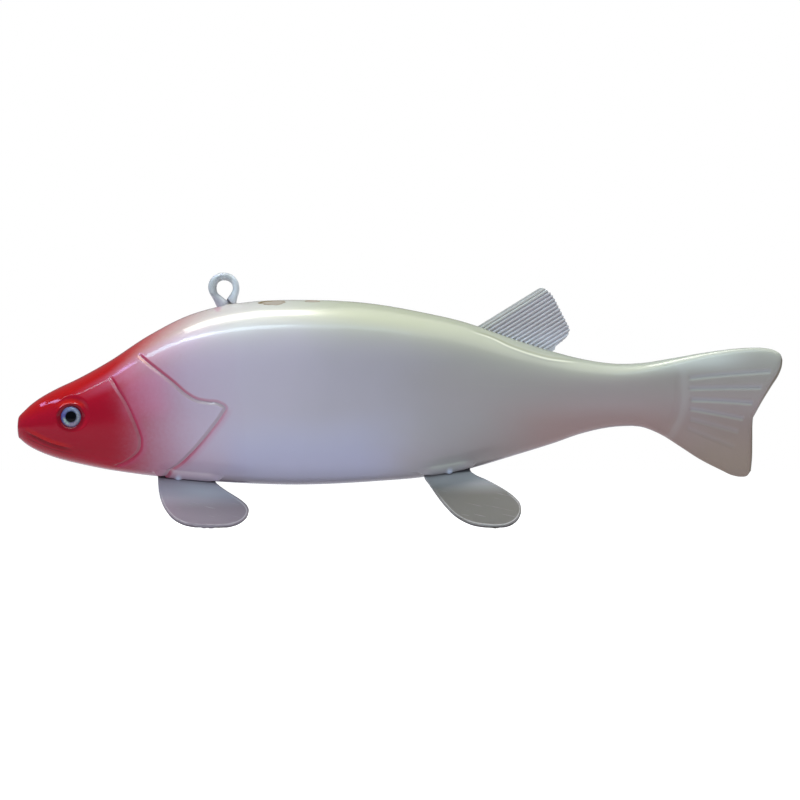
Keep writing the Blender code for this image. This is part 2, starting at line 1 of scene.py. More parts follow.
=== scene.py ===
import json
import bmesh
import bpy
import numpy as np
from math import cos, pi, radians, sin, sqrt, tan
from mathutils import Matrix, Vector

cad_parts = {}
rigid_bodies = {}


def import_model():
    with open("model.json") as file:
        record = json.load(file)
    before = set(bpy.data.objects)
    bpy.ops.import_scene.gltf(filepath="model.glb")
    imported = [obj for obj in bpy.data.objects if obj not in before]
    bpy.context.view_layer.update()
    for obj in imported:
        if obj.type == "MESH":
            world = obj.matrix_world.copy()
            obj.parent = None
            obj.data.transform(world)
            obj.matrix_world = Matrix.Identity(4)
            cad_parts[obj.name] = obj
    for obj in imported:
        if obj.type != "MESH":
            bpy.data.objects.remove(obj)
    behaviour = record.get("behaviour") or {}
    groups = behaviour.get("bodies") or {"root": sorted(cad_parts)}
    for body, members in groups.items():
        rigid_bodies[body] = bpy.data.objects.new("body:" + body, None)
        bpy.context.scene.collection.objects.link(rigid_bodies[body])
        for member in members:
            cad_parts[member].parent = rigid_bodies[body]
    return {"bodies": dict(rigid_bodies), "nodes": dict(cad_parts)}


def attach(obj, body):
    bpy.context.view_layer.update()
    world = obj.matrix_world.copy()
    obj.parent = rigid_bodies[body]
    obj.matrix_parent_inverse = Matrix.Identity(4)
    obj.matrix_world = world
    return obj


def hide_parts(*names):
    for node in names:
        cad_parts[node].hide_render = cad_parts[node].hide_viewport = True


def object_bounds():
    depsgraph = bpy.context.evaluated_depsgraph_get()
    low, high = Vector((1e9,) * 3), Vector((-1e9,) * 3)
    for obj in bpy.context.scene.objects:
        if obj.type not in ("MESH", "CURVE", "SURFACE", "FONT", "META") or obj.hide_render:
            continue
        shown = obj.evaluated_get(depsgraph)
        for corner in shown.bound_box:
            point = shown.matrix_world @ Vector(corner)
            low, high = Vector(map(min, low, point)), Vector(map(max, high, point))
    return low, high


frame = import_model()
cadBox = [list(corner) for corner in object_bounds()]
keep = set(frame["nodes"].values()) | set(frame["bodies"].values())
for extra in [thing for thing in bpy.data.objects if thing not in keep]:
    bpy.data.objects.remove(extra)
bpy.ops.object.select_all(action="DESELECT")
print("frame loaded:", ", ".join(sorted(frame["nodes"])))

# Shapes are worked out in millimetres: d from the nose towards the tail, y from the middle
# plane, z from the surface that the fins stand on
mm = 0.001
noseX = cadBox[0][0]


# Small tools

def smoothRows(rows, at):        # smooth curve through rows: first column is where, the rest what
    rows, at = np.array(rows, float), np.asarray(at, float)
    where, what = rows[:, 0], rows[:, 1:]
    gap = np.diff(where)[:, None]
    rise = np.diff(what, axis=0) / gap
    between = (gap[:-1] * rise[1:] + gap[1:] * rise[:-1]) / (gap[:-1] + gap[1:])
    slope = np.concatenate([rise[:1], between, rise[-1:]])
    k = np.clip(np.searchsorted(where, at, side="right") - 1, 0, len(gap) - 1)
    span = gap[k]
    t = ((at - where[k])[..., None]) / span
    return (
        (2 * t**3 - 3 * t**2 + 1) * what[k] + (t**3 - 2 * t**2 + t) * span * slope[k]
        + (3 * t**2 - 2 * t**3) * what[k + 1] + (t**3 - t**2) * span * slope[k + 1]
    )


def byLength(points, start=0):   # rows for smoothRows: 0 at point number start, 1 at the last
    points = np.array(points, float)
    length = np.concatenate([[0.0], np.cumsum(np.linalg.norm(np.diff(points, axis=0), axis=1))])
    return np.column_stack([(length - length[start]) / (length[-1] - length[start]), points])


def fade(value, low, high):      # 0 at low, 1 at high, smooth between them
    t = np.clip((value - low) / (high - low), 0.0, 1.0)
    return t * t * (3.0 - 2.0 * t)


def bell(value, middle, width):  # 1 at the middle, falling off on both sides
    return np.exp(-((value - middle) / width) ** 2)


def awake(piece):
    bpy.ops.object.select_all(action="DESELECT")
    piece.select_set(True)
    bpy.context.view_layer.objects.active = piece


def readPoints(mesh):
    flat = np.empty(len(mesh.vertices) * 3)
    mesh.vertices.foreach_get("co", flat)
    return flat.reshape(-1, 3)


def writePoints(mesh, points):
    mesh.vertices.foreach_set("co", np.ascontiguousarray(points, float).ravel())
    mesh.update()


def toMetres(d, y, z):
    return np.column_stack([noseX + np.asarray(d) * mm, np.asarray(y) * mm, np.asarray(z) * mm])


def flatGrid(name, columns, rows):       # a grid over 0 to 1 both ways, ready to be wrapped
    bpy.ops.mesh.primitive_grid_add(x_subdivisions=columns, y_subdivisions=rows, size=1, location=(0.5, 0.5, 0))
    piece = bpy.context.object
    piece.name = piece.data.name = name
    bpy.ops.object.transform_apply(location=True, rotation=True, scale=True)
    return piece


def wrap(piece, place):          # every point of the flat grid goes to its place on the form
    u, v, _ = readPoints(piece.data).T
    writePoints(piece.data, toMetres(*place(u, v)))
    return piece


def closeUp(piece, gap=0.000002):        # joins the seams and turns every face outwards
    awake(piece)
    bpy.ops.object.mode_set(mode="EDIT")
    bpy.ops.mesh.select_all(action="SELECT")
    bpy.ops.mesh.remove_doubles(threshold=gap)
    bpy.ops.mesh.normals_make_consistent(inside=False)
    bpy.ops.object.mode_set(mode="OBJECT")


def applyModifier(piece, kind, **settings):
    awake(piece)
    bpy.ops.object.modifier_add(type=kind)
    modifier = piece.modifiers[-1]
    for setting, value in settings.items():
        setattr(modifier, setting, value)
    bpy.ops.object.modifier_apply(modifier=modifier.name)


def smoothShade(piece, angle=40.0):
    awake(piece)
    bpy.ops.object.shade_smooth_by_angle(angle=radians(angle))


def giveValue(piece, name, values):      # one number at every point, for the paint to read
    layer = piece.data.attributes.new(name, "FLOAT", "POINT")
    layer.data.foreach_set("value", np.ascontiguousarray(values, np.float32))


def handOver(piece, paint, slot, *nodes):        # paint, body and the nodes that the piece stands for
    piece.data.materials.clear()
    piece.data.materials.append(paint)
    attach(piece, "root")
    if nodes:
        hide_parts(*nodes)
    print("made", piece.name, len(piece.data.polygons), "faces")


# Materials: a socket that can be reckoned with, and a pot that adds nodes

class Value:
    def __init__(self, pot, socket):
        self.pot, self.socket = pot, socket

    def reckon(self, operation, first, second):
        return self.pot.node("ShaderNodeMath", {"operation": operation}, {0: first, 1: second})

    def __add__(self, other):
        return self.reckon("ADD", self, other)

    def __sub__(self, other):
        return self.reckon("SUBTRACT", self, other)

    def __rsub__(self, other):
        return self.reckon("SUBTRACT", other, self)

    def __mul__(self, other):
        return self.reckon("MULTIPLY", self, other)

    def __truediv__(self, other):
        return self.reckon("DIVIDE", self, other)

    def __pow__(self, other):
        return self.reckon("POWER", self, other)

    __radd__ = __add__
    __rmul__ = __mul__


class PaintPot:
    def __init__(self, name, **constants):
        self.material = bpy.data.materials.new(name)
        self.material.use_nodes = True
        self.tree = self.material.node_tree
        self.shader = self.tree.nodes["Principled BSDF"]
        for socket, value in constants.items():
            self.shader.inputs[socket.replace("_", " ")].default_value = value
        self.places = {}

    def node(self, kind, settings=None, inputs=None, out=0):
        node = self.tree.nodes.new(kind)
        for setting, value in (settings or {}).items():
            if setting == "stops":
                self.setStops(node.color_ramp, value)
            else:
                setattr(node, setting, value)
        for socket, value in (inputs or {}).items():
            if isinstance(value, Value):
                self.tree.links.new(value.socket, node.inputs[socket])
            else:
                node.inputs[socket].default_value = value
        return Value(self, node.outputs[out])

    def setStops(self, ramp, stops):
        ramp.interpolation = "B_SPLINE"
        while len(ramp.elements) < len(stops):
            ramp.elements.new(0.5)
        for element, (place, colour) in zip(ramp.elements, stops):
            element.position = place
            element.color = colour if isinstance(colour, tuple) else (colour, colour, colour, 1.0)

    def place(self, axis):       # millimetres along the fish, across it or up
        if "d" not in self.places:
            point = self.node("ShaderNodeTexCoord", out=3)
            split = self.node("ShaderNodeSeparateXYZ", None, {0: point})
            x, y, z = (Value(self, socket) for socket in split.socket.node.outputs)
            self.places = {"point": point, "d": (x - noseX) * 1000.0, "y": y * 1000.0, "z": z * 1000.0}
        return self.places[axis]

    def noise(self, size, detail):       # size in millimetres
        inputs = {"Vector": self.place("point"), "Scale": 1000.0 / size, "Detail": detail}
        return self.node("ShaderNodeTexNoise", None, inputs)

    def reading(self, name):     # a value that the mesh carries
        return self.node("ShaderNodeAttribute", {"attribute_name": name}, out=2)

    def step(self, value, low, high, start=0.0, end=1.0):
        return self.node(
            "ShaderNodeMapRange", {"interpolation_type": "SMOOTHSTEP"},
            {0: value, 1: low, 2: high, 3: start, 4: end},
        )

    def band(self, value, *edges):       # 1 between the two inner edges, 0 beyond the outer two
        return self.step(value, *edges[:2]) * self.step(value, *edges[:1:-1])

    def mix(self, factor, first, second):
        node = self.tree.nodes.new("ShaderNodeMix")
        node.data_type = "RGBA"
        for socket, value in ((0, factor), (6, first), (7, second)):
            if isinstance(value, Value):
                self.tree.links.new(value.socket, node.inputs[socket])
            else:
                node.inputs[socket].default_value = value
        return Value(self, node.outputs[2])

    def bump(self, height, distance, below=None):
        inputs = {"Height": height, "Distance": distance * mm, "Strength": 1.0}
        if below:
            inputs["Normal"] = below
        return self.node("ShaderNodeBump", None, inputs)

    def feed(self, **sockets):
        for socket, value in sockets.items():
            self.tree.links.new(value.socket, self.shader.inputs[socket.replace("_", " ")])
        return self.material


def rgb(*levels):                # a colour read as screen values, 0 to 255
    linear = (c / 255 / 12.92 if c < 10.3 else ((c / 255 + 0.055) / 1.055) ** 2.4 for c in levels)
    return (*linear, 1.0)


# The carving

carving = dict(
    # d, back, belly, half thickness, squareness of the section above and below its widest level
    stations=(
        (0.0, 26.75, 26.65, 0.05, 2.0, 2.0), (0.3, 29.4, 24.1, 2.3, 2.2, 2.2),
        (0.8, 30.1, 23.6, 3.2, 2.3, 2.3), (1.9, 31.2, 22.6, 4.4, 2.4, 2.4),
        (3.5, 32.7, 21.5, 5.6, 2.4, 2.5), (6.1, 34.6, 20.2, 7.0, 2.5, 2.6),
        (10.4, 37.0, 18.6, 8.6, 2.6, 2.8), (16.7, 40.0, 17.0, 10.1, 2.7, 3.1),
        (24.7, 44.5, 15.4, 11.4, 2.8, 3.5), (35.3, 51.4, 13.9, 12.5, 3.0, 4.0),
        (46.0, 56.7, 12.9, 13.1, 3.1, 4.4), (61.9, 60.1, 11.8, 13.3, 3.2, 4.6),
        (75.2, 60.6, 11.5, 13.1, 3.2, 4.6), (96.4, 59.3, 12.5, 12.2, 3.1, 4.4),
        (107.0, 57.4, 13.4, 11.5, 3.0, 4.2), (117.7, 55.0, 15.2, 10.5, 2.9, 3.9),
        (133.0, 49.8, 19.6, 8.6, 2.8, 3.5), (143.2, 46.6, 22.8, 7.1, 2.8, 3.2),
        (149.5, 45.0, 25.0, 6.3, 2.8, 3.1), (160.2, 43.6, 27.0, 5.1, 3.0, 3.1),
        (165.4, 43.8, 26.9, 4.6, 3.2, 3.3), (173.3, 45.0, 23.4, 3.75, 3.9, 4.0),
    ),
    tailStart=165.4,
    # (d, z) along the tail's upper and lower edge, each from just ahead of the root, and its rear edge
    tailUpper=(
        (160.2, 43.6), (165.4, 43.8), (173.3, 45.0), (181.3, 46.4), (189.2, 47.5), (194.6, 47.9),
        (198.5, 47.8), (201.3, 47.1), (202.7, 46.1), (203.2, 44.6),
    ),
    tailLower=(
        (160.2, 27.0), (165.4, 26.9), (170.7, 24.9), (176.0, 21.6), (181.3, 18.2), (186.6, 15.5),
        (189.8, 14.0), (191.9, 13.6), (193.7, 13.8), (194.8, 15.2),
    ),
    tailRear=(
        (203.2, 44.6), (203.0, 42.8), (202.3, 40.9), (200.2, 37.5), (197.5, 33.1), (195.85, 30.1),
        (195.4, 29.3), (195.3, 28.4), (195.2, 23.4), (195.1, 18.1), (194.8, 15.2),
    ),
    # root to rear edge: half thickness and squareness
    tailSection=((-0.137, 5.1, 3.0), (0.0, 4.6, 3.2), (0.25, 3.5, 3.7), (0.6, 2.5, 4.3), (1.0, 1.9, 5.0)),
    tailBow=1.6,
    rimStart=0.93,       # where the tail starts to round off to its rear edge
    rings=156, tailRings=40, around=128,
    # finer faces: how far beyond the carving, cuts across each face, from where to where, putty and dish too
    finer=((1.1, 2, 0.0, 160.0, True), (0.15, 2, 160.0, 210.0, False), (0.15, 1, 20.0, 160.0, False)),
)
# Carved lines on each flank: (d, z) points, width of the wall before and behind the foot of
# the cut, its depth, the form of its walls and the length of its run-out
cuts = dict(
    gill=dict(
        line=(
            (24.8, 40.4), (26.6, 37.2), (28.7, 33.8), (30.6, 29.9), (32.0, 26.4), (32.9, 23.2),
            (32.6, 20.8), (30.5, 18.5), (27.9, 17.0), (25.6, 16.2),
        ),
        walls=(0.85, 0.5), deep=0.42, form=(1.2, 1.3), runOut=2.5,
    ),
    shoulder=dict(
        line=(
            (32.0, 46.4), (35.0, 43.8), (38.3, 41.2), (41.8, 38.4), (44.8, 35.8), (47.6, 34.2), (50.4, 33.6),
            (53.6, 33.2), (55.4, 31.9), (54.6, 30.3), (51.9, 26.5), (49.0, 22.9), (46.0, 19.6), (43.0, 16.8),
            (40.4, 15.2), (37.6, 14.2),
        ),
        walls=(0.9, 0.55), deep=0.42, form=(1.2, 1.3), runOut=2.5,
    ),
    mouth=dict(
        line=((1.2, 25.6), (2.6, 25.2), (4.4, 24.3), (7.3, 22.9), (10.0, 21.9), (12.9, 21.2), (15.8, 20.7)),
        walls=(1.0, 0.6), deep=0.4, form=(1.5, 1.5), runOut=4.5,
        ridge=(1.1, 0.5, 0.22),      # of the upper lip: its place, width and height
    ),
    root=dict(
        line=((174.9, 41.8), (175.6, 38.6), (175.7, 35.4), (175.2, 32.0), (174.0, 28.6), (172.3, 25.6)),
        walls=(1.5, 1.5), deep=0.22, form=(2.0, 2.0), runOut=4.0,
    ),
)
for number, (deep, line) in enumerate((
    (0.26, ((178.0, 39.9), (188.0, 40.9), (200.4, 41.8))),
    (0.286, ((178.0, 37.2), (188.0, 37.4), (198.0, 37.5))),
    (0.312, ((178.4, 34.3), (187.0, 33.9), (195.6, 33.3))),
    (0.26, ((178.2, 31.9), (185.5, 30.6), (193.2, 29.1))),
    (0.156, ((178.2, 29.2), (185.0, 27.4), (191.9, 25.5))),
    (0.104, ((177.6, 26.8), (184.0, 24.2), (190.6, 21.5))),
)):
    cuts[f"ray{number + 1}"] = dict(line=line, walls=(1.0, 1.0), deep=deep, form=(2.0, 1.7), runOut=0.9)
socket = dict(
    dish=(14.6, 30.5), dishRadius=4.9, dishDepth=1.25, dishForm=1.05,
    eye=(14.1, 29.5), lidRadius=3.6, lidWidth=0.5, lidHeight=0.38, holeRadius=2.75, holeDepth=0.8,
)
# Putty over the roots of the side fins, with a drop of glue on each, and round the screw eye
splay = radians(40.0)        # of the side fins, from the upright
putty = dict(
    roots=(
        dict(front=(37.4, 13.2), rear=(53.2, 11.7), y=6.4, drop=0.36),
        dict(front=(108.0, 13.7), rear=(120.4, 14.8), y=5.6, drop=0.5),
    ),
    aside=1.5, half=1.6, height=1.5, taper=3.0, dropHalf=1.2, dropHeight=0.45,
    mound=(55.9, 0.0, 59.2), moundHalf=2.9, moundHeight=0.4,
    # where the putty is painted with a highlight and with shade, how wide, and how far the painted bounce light
    # above it reaches
    pale=(1.4, 0.45), dark=(0.3, 0.5), bounceHaze=(2.0, 5.8),
    crestHalf=0.9, crestHeight=0.1,
    crest=(
        (119.5, 52.5), (122.8, 51.4), (125.2, 50.6), (130.8, 48.0), (137.5, 45.7), (140.1, 45.0), (146.8, 44.1),
        (150.0, 43.9),
    ),
)
# Chips in the paint on top of the back: d, y, half length, half width
chips = ((67.8, -3.2, 3.5, 2.0), (78.3, -2.2, 2.0, 1.4))
chipDepth = 0.2

bodyRows = np.array([(sqrt(row[0]), *row[1:]) for row in carving["stations"]])
upperRows, lowerRows = byLength(carving["tailUpper"], 1), byLength(carving["tailLower"], 1)
rearRows = byLength(carving["tailRear"])
tailShare = carving["tailRings"] / (carving["rings"] + carving["tailRings"])


def squared(half, s, square):    # half thickness at s: 0 at the widest level, 1 at the ridge
    return half * np.sqrt(np.clip(1.0 - np.abs(s) ** square, 0.0, 1.0))


def bodySection(at, s):          # the body at the square root of d
    back, belly, half, above, below = smoothRows(bodyRows, at).T
    middle, reach = (back + belly) / 2, (back - belly) / 2
    return at**2, squared(half, s, np.where(s > 0, above, below)), middle + reach * s


def tailSection(w, s):           # the tail from root to rear edge
    t = ((1.0 - s) / 2)[:, None]
    upper, lower = smoothRows(upperRows, w), smoothRows(lowerRows, w)
    straight = rearRows[0, 1:] * (1 - t) + rearRows[-1, 1:] * t
    bow = smoothRows(rearRows, t[:, 0]) - straight
    d, z = (upper * (1 - t) + lower * t + bow * (w ** carving["tailBow"])[:, None]).T
    half, square = smoothRows(carving["tailSection"], w).T
    rim = np.clip((w - carving["rimStart"]) / (1 - carving["rimStart"]), 0.0, 1.0)
    return d, squared(half, s, square) * np.sqrt(1 - rim**2), z


def hull(u, v):                  # nose to tail along u, once round the section along v
    turn = np.where(v <= 0.5, 1 - 4 * v, 4 * v - 3)
    s = np.sin(pi / 2 * turn)
    ahead = 1 - tailShare
    w = 1 - (1 - np.clip((u - ahead) / tailShare, 0.0, 1.0)) ** 1.7
    onTail = u > ahead
    bodyPoint = bodySection(sqrt(carving["tailStart"]) * np.clip(u / ahead, 0.0, 1.0), s)
    tailPoint = tailSection(w, s)
    d, half, z = (np.where(onTail, tail, body) for tail, body in zip(tailPoint, bodyPoint))
    return d, np.where(v <= 0.5, half, -half), z


def skin(d, z):                  # half thickness of the plain carving at (d, z)
    d, z = np.broadcast_arrays(np.asarray(d, float), np.asarray(z, float))
    back, belly, half, above, below = smoothRows(bodyRows, np.sqrt(np.clip(d, 0, carving["tailStart"]))).T
    s = np.clip((z - (back + belly) / 2) / ((back - belly) / 2), -1, 1)
    onBody = squared(half, s, np.where(s > 0, above, below))
    near, far = np.zeros(d.shape), np.ones(d.shape)
    for _ in range(22):
        w = (near + far) / 2
        upper, lower = smoothRows(upperRows, w)[..., 1], smoothRows(lowerRows, w)[..., 1]
        s = np.clip(2 * (z - lower) / (upper - lower) - 1, -1, 1)
        short = tailSection(w, s)[0] < d
        near, far = np.where(short, w, near), np.where(short, far, w)
    return np.where(d > carving["tailStart"], tailSection(near, s)[1], onBody)


def skinNormal(d, z, step=0.15):
    slopeD = (skin([d + step], [z]) - skin([d - step], [z]))[0] / (2 * step)
    slopeZ = (skin([d], [z + step]) - skin([d], [z - step]))[0] / (2 * step)
    return np.array((-slopeD, 1.0, -slopeZ)) / sqrt(1 + slopeD**2 + slopeZ**2)


def nearSide(points):            # both flanks folded onto the +Y side
    return np.column_stack([points[:, 0], np.abs(points[:, 1]), points[:, 2]])


for cut in cuts.values():
    rows = byLength(cut["line"])
    route = smoothRows(rows, np.linspace(0, 1, 9 * len(rows)))
    cut["route"] = np.column_stack([route[:, 0], skin(*route.T), route[:, 1]])

for root in putty["roots"]:      # along the outer face of the fin, where its sheet comes out of the wood
    d = np.linspace(root["front"][0], root["rear"][0], 24)
    rootZ = np.interp(d, *zip(root["front"], root["rear"]))
    low, high = rootZ - 2.0, rootZ + 5.0
    for _ in range(22):
        z = (low + high) / 2
        outside = root["y"] + putty["aside"] + (rootZ - z) * tan(splay) > skin(d, z)
        low, high = np.where(outside, z, low), np.where(outside, high, z)
    root["route"] = np.column_stack([d, skin(d, z), z])
route = smoothRows(byLength(putty["crest"]), np.linspace(0, 1, 60))
putty["crest"] = np.column_stack([route[:, 0], skin(*route.T), route[:, 1]])


def fromCut(points, route, margin=6.0):  # signed distance from the route, distance to its nearer end
    distance, toEnd = np.full(len(points), 99.0), np.zeros(len(points))
    low, high = route.min(axis=0) - margin, route.max(axis=0) + margin
    near = np.flatnonzero(np.all((points > low) & (points < high), axis=1))
    start, leg = route[:-1], np.diff(route, axis=0)
    length = np.linalg.norm(leg, axis=1)
    run = np.concatenate([[0.0], np.cumsum(length)])
    for part in np.array_split(near, max(1, len(near) // 4000)):
        gap = points[part][:, None] - start[None]
        t = np.clip((gap * leg).sum(axis=2) / length**2, 0.0, 1.0)
        away = gap - leg * t[..., None]
        far = np.linalg.norm(away, axis=2)
        k = far.argmin(axis=1)
        row = np.arange(len(part))
        side = leg[k, 0] * away[row, k, 2] - leg[k, 2] * away[row, k, 0]
        distance[part] = far[row, k] * np.where(side > 0, 1.0, -1.0)
        place = run[k] + t[row, k] * length[k]
        toEnd[part] = np.minimum(place, run[-1] - place)
    return distance, toEnd


def fromAxis(points, centre):            # distance from the line on which the eye looks out
    foot = np.array((centre[0], skin([centre[0]], [centre[1]])[0], centre[1]))
    gap = points - foot
    out = gap @ skinNormal(*centre)
    distance = np.sqrt(np.clip((gap**2).sum(axis=1) - out**2, 0, None))
    return np.where(points[:, 0] < 25, distance, 99.0)


def chipEdge(points, chip):              # below 1 inside the chip, with a ragged edge
    d, y, long, wide = chip
    turn = np.arctan2((points[:, 1] - y) / wide, (points[:, 0] - d) / long)
    ragged = 1 + 0.07 * np.sin(3 * turn + d) + 0.05 * np.sin(7 * turn + 2 * d) + 0.03 * np.sin(13 * turn)
    away = np.hypot((points[:, 0] - d) / long, (points[:, 1] - y) / wide) / ragged
    return np.where(points[:, 2] > 50.0, away, 9.0)


def hill(distance, half, height):        # a rounded rise
    return height * (1 - np.clip(distance / half, 0, 1) ** 2) ** 2


def refine(piece, reach, number, first, last, everything):       # finer faces beside whatever is carved
    awake(piece)
    bpy.ops.object.mode_set(mode="EDIT")
    bpy.ops.mesh.select_mode(type="FACE")
    bpy.ops.mesh.select_all(action="DESELECT")
    shape = bmesh.from_edit_mesh(piece.data)
    points = np.column_stack(hull(*np.array([face.calc_center_median()[:2] for face in shape.faces]).T))
    folded = nearSide(points)
    close = np.zeros(len(points), bool)
    for cut in cuts.values():
        close |= np.abs(fromCut(folded, cut["route"])[0]) < max(cut["walls"]) + reach
    if everything:
        close |= fromAxis(folded, socket["dish"]) < socket["dishRadius"] + reach
        for root in putty["roots"]:
            close |= np.abs(fromCut(folded, root["route"])[0]) < putty["half"] + reach / 2
        close |= np.abs(fromCut(folded, putty["crest"])[0]) < 0.8 + reach / 2
        for chip in chips:
            close |= chipEdge(points, chip) < 1 + reach / 3
    close &= (points[:, 0] >= first) & (points[:, 0] < last)
    for face, picked in zip(shape.faces, close):
        face.select_set(bool(picked))
    bmesh.update_edit_mesh(piece.data)
    bpy.ops.mesh.subdivide(number_cuts=number, ngon=False)
    bpy.ops.object.mode_set(mode="OBJECT")


def carve(piece):
    points = readPoints(piece.data)
    normals = np.empty(len(points) * 3)
    piece.data.vertex_normals.foreach_get("vector", normals)
    local = (points - (noseX, 0, 0)) / mm
    folded = nearSide(local)
    depth, glue, pale, dark, bounceGlow, seamShown, ray = (np.zeros(len(points)) for _ in range(7))
    seam, readings = np.full(len(points), 9.0), {}       # what the paint reads at every point
    for name, cut in cuts.items():
        distance, toEnd = fromCut(folded, cut["route"])
        before, behind = cut["walls"]
        across = np.clip(np.where(distance < 0, -distance / before, distance / behind), 0, 1)
        shown = fade(toEnd, 0.0, cut["runOut"])
        wall = (1 - across ** cut["form"][0]) ** cut["form"][1] * shown
        depth = np.maximum(depth, cut["deep"] * wall)
        if name in ("gill", "shoulder"):
            nearer = np.abs(distance) < np.abs(seam)
            seam, seamShown = np.where(nearer, distance, seam), np.where(nearer, shown, seamShown)
        elif name.startswith("ray"):
            ray = np.maximum(ray, wall * cut["deep"] / 0.35)
        elif name == "mouth":
            lip = np.where(folded[:, 0] < 22, np.clip(distance, -9, 9), 9.0)
            readings.update(hollow=wall, lip=lip, lipShown=shown)
            place, width, height = cut["ridge"]
            depth -= height * bell(distance, place, width) * fade(folded[:, 0], 9.0, 5.0)
        else:
            readings["tailRoot"] = np.clip(np.where(folded[:, 0] < 171, -9, distance), -9, 9)
    seamShown *= 1 - fade(np.abs(seam), 3.0, 3.8)        # its sign flips half way between two cuts
    dish = np.clip(fromAxis(folded, socket["dish"]) / socket["dishRadius"], 0, 1)
    eyeFar = fromAxis(folded, socket["eye"])
    upper = fade((folded[:, 2] - socket["eye"][1]) / np.maximum(eyeFar, 0.1), -0.1, 0.4)
    lid = bell(eyeFar, socket["lidRadius"], socket["lidWidth"]) * (0.12 + 0.88 * upper)
    depth += socket["dishDepth"] * (1 - dish**2) ** socket["dishForm"] - socket["lidHeight"] * lid
    depth += socket["holeDepth"] * (1 - fade(eyeFar, socket["holeRadius"] - 0.3, socket["holeRadius"] + 0.2))
    for root in putty["roots"]:
        distance, toEnd = fromCut(folded, root["route"])
        shown = fade(toEnd, 0.0, putty["taper"])
        depth -= hill(np.abs(distance), putty["half"], putty["height"]) * (0.8 + 0.2 * shown)
        pale = np.maximum(pale, bell(distance, *putty["pale"]) * shown)
        dark = np.maximum(dark, bell(distance, *putty["dark"]) * shown)
        bounceGlow = np.maximum(bounceGlow, (1 - fade(np.abs(distance), *putty["bounceHaze"])) * fade(toEnd, -1.0, 4.0))
        centre = root["route"][int(root["drop"] * len(root["route"]))]
        fromDrop = np.linalg.norm(folded - centre, axis=1)
        depth -= hill(fromDrop, putty["dropHalf"], putty["dropHeight"])
        glue = np.maximum(glue, 1 - fade(fromDrop, 0.4, 1.1))
    depth -= hill(np.linalg.norm(local - putty["mound"], axis=1), putty["moundHalf"], putty["moundHeight"])
    distance, toEnd = fromCut(folded, putty["crest"])
    crestShown = fade(toEnd, 0.0, 6.0)
    depth -= hill(np.abs(distance), putty["crestHalf"], putty["crestHeight"]) * crestShown
    chipped = np.minimum(*(chipEdge(local, chip) for chip in chips))
    depth += chipDepth * (1 - fade(chipped, 0.85, 1.1))
    writePoints(piece.data, points - normals.reshape(-1, 3) * (depth * mm)[:, None])
    readings.update(
        crest=np.clip(distance, -9, 9), crestShown=crestShown, seam=np.clip(seam, -9, 9), seamShown=seamShown,
        ray=ray, glue=glue, putty=pale, puttyFoot=dark, puttyHalo=bounceGlow, chipped=np.clip(chipped, 0, 3),
        fromEye=eyeFar,
    )
    for reading, values in readings.items():
        giveValue(piece, reading, values)


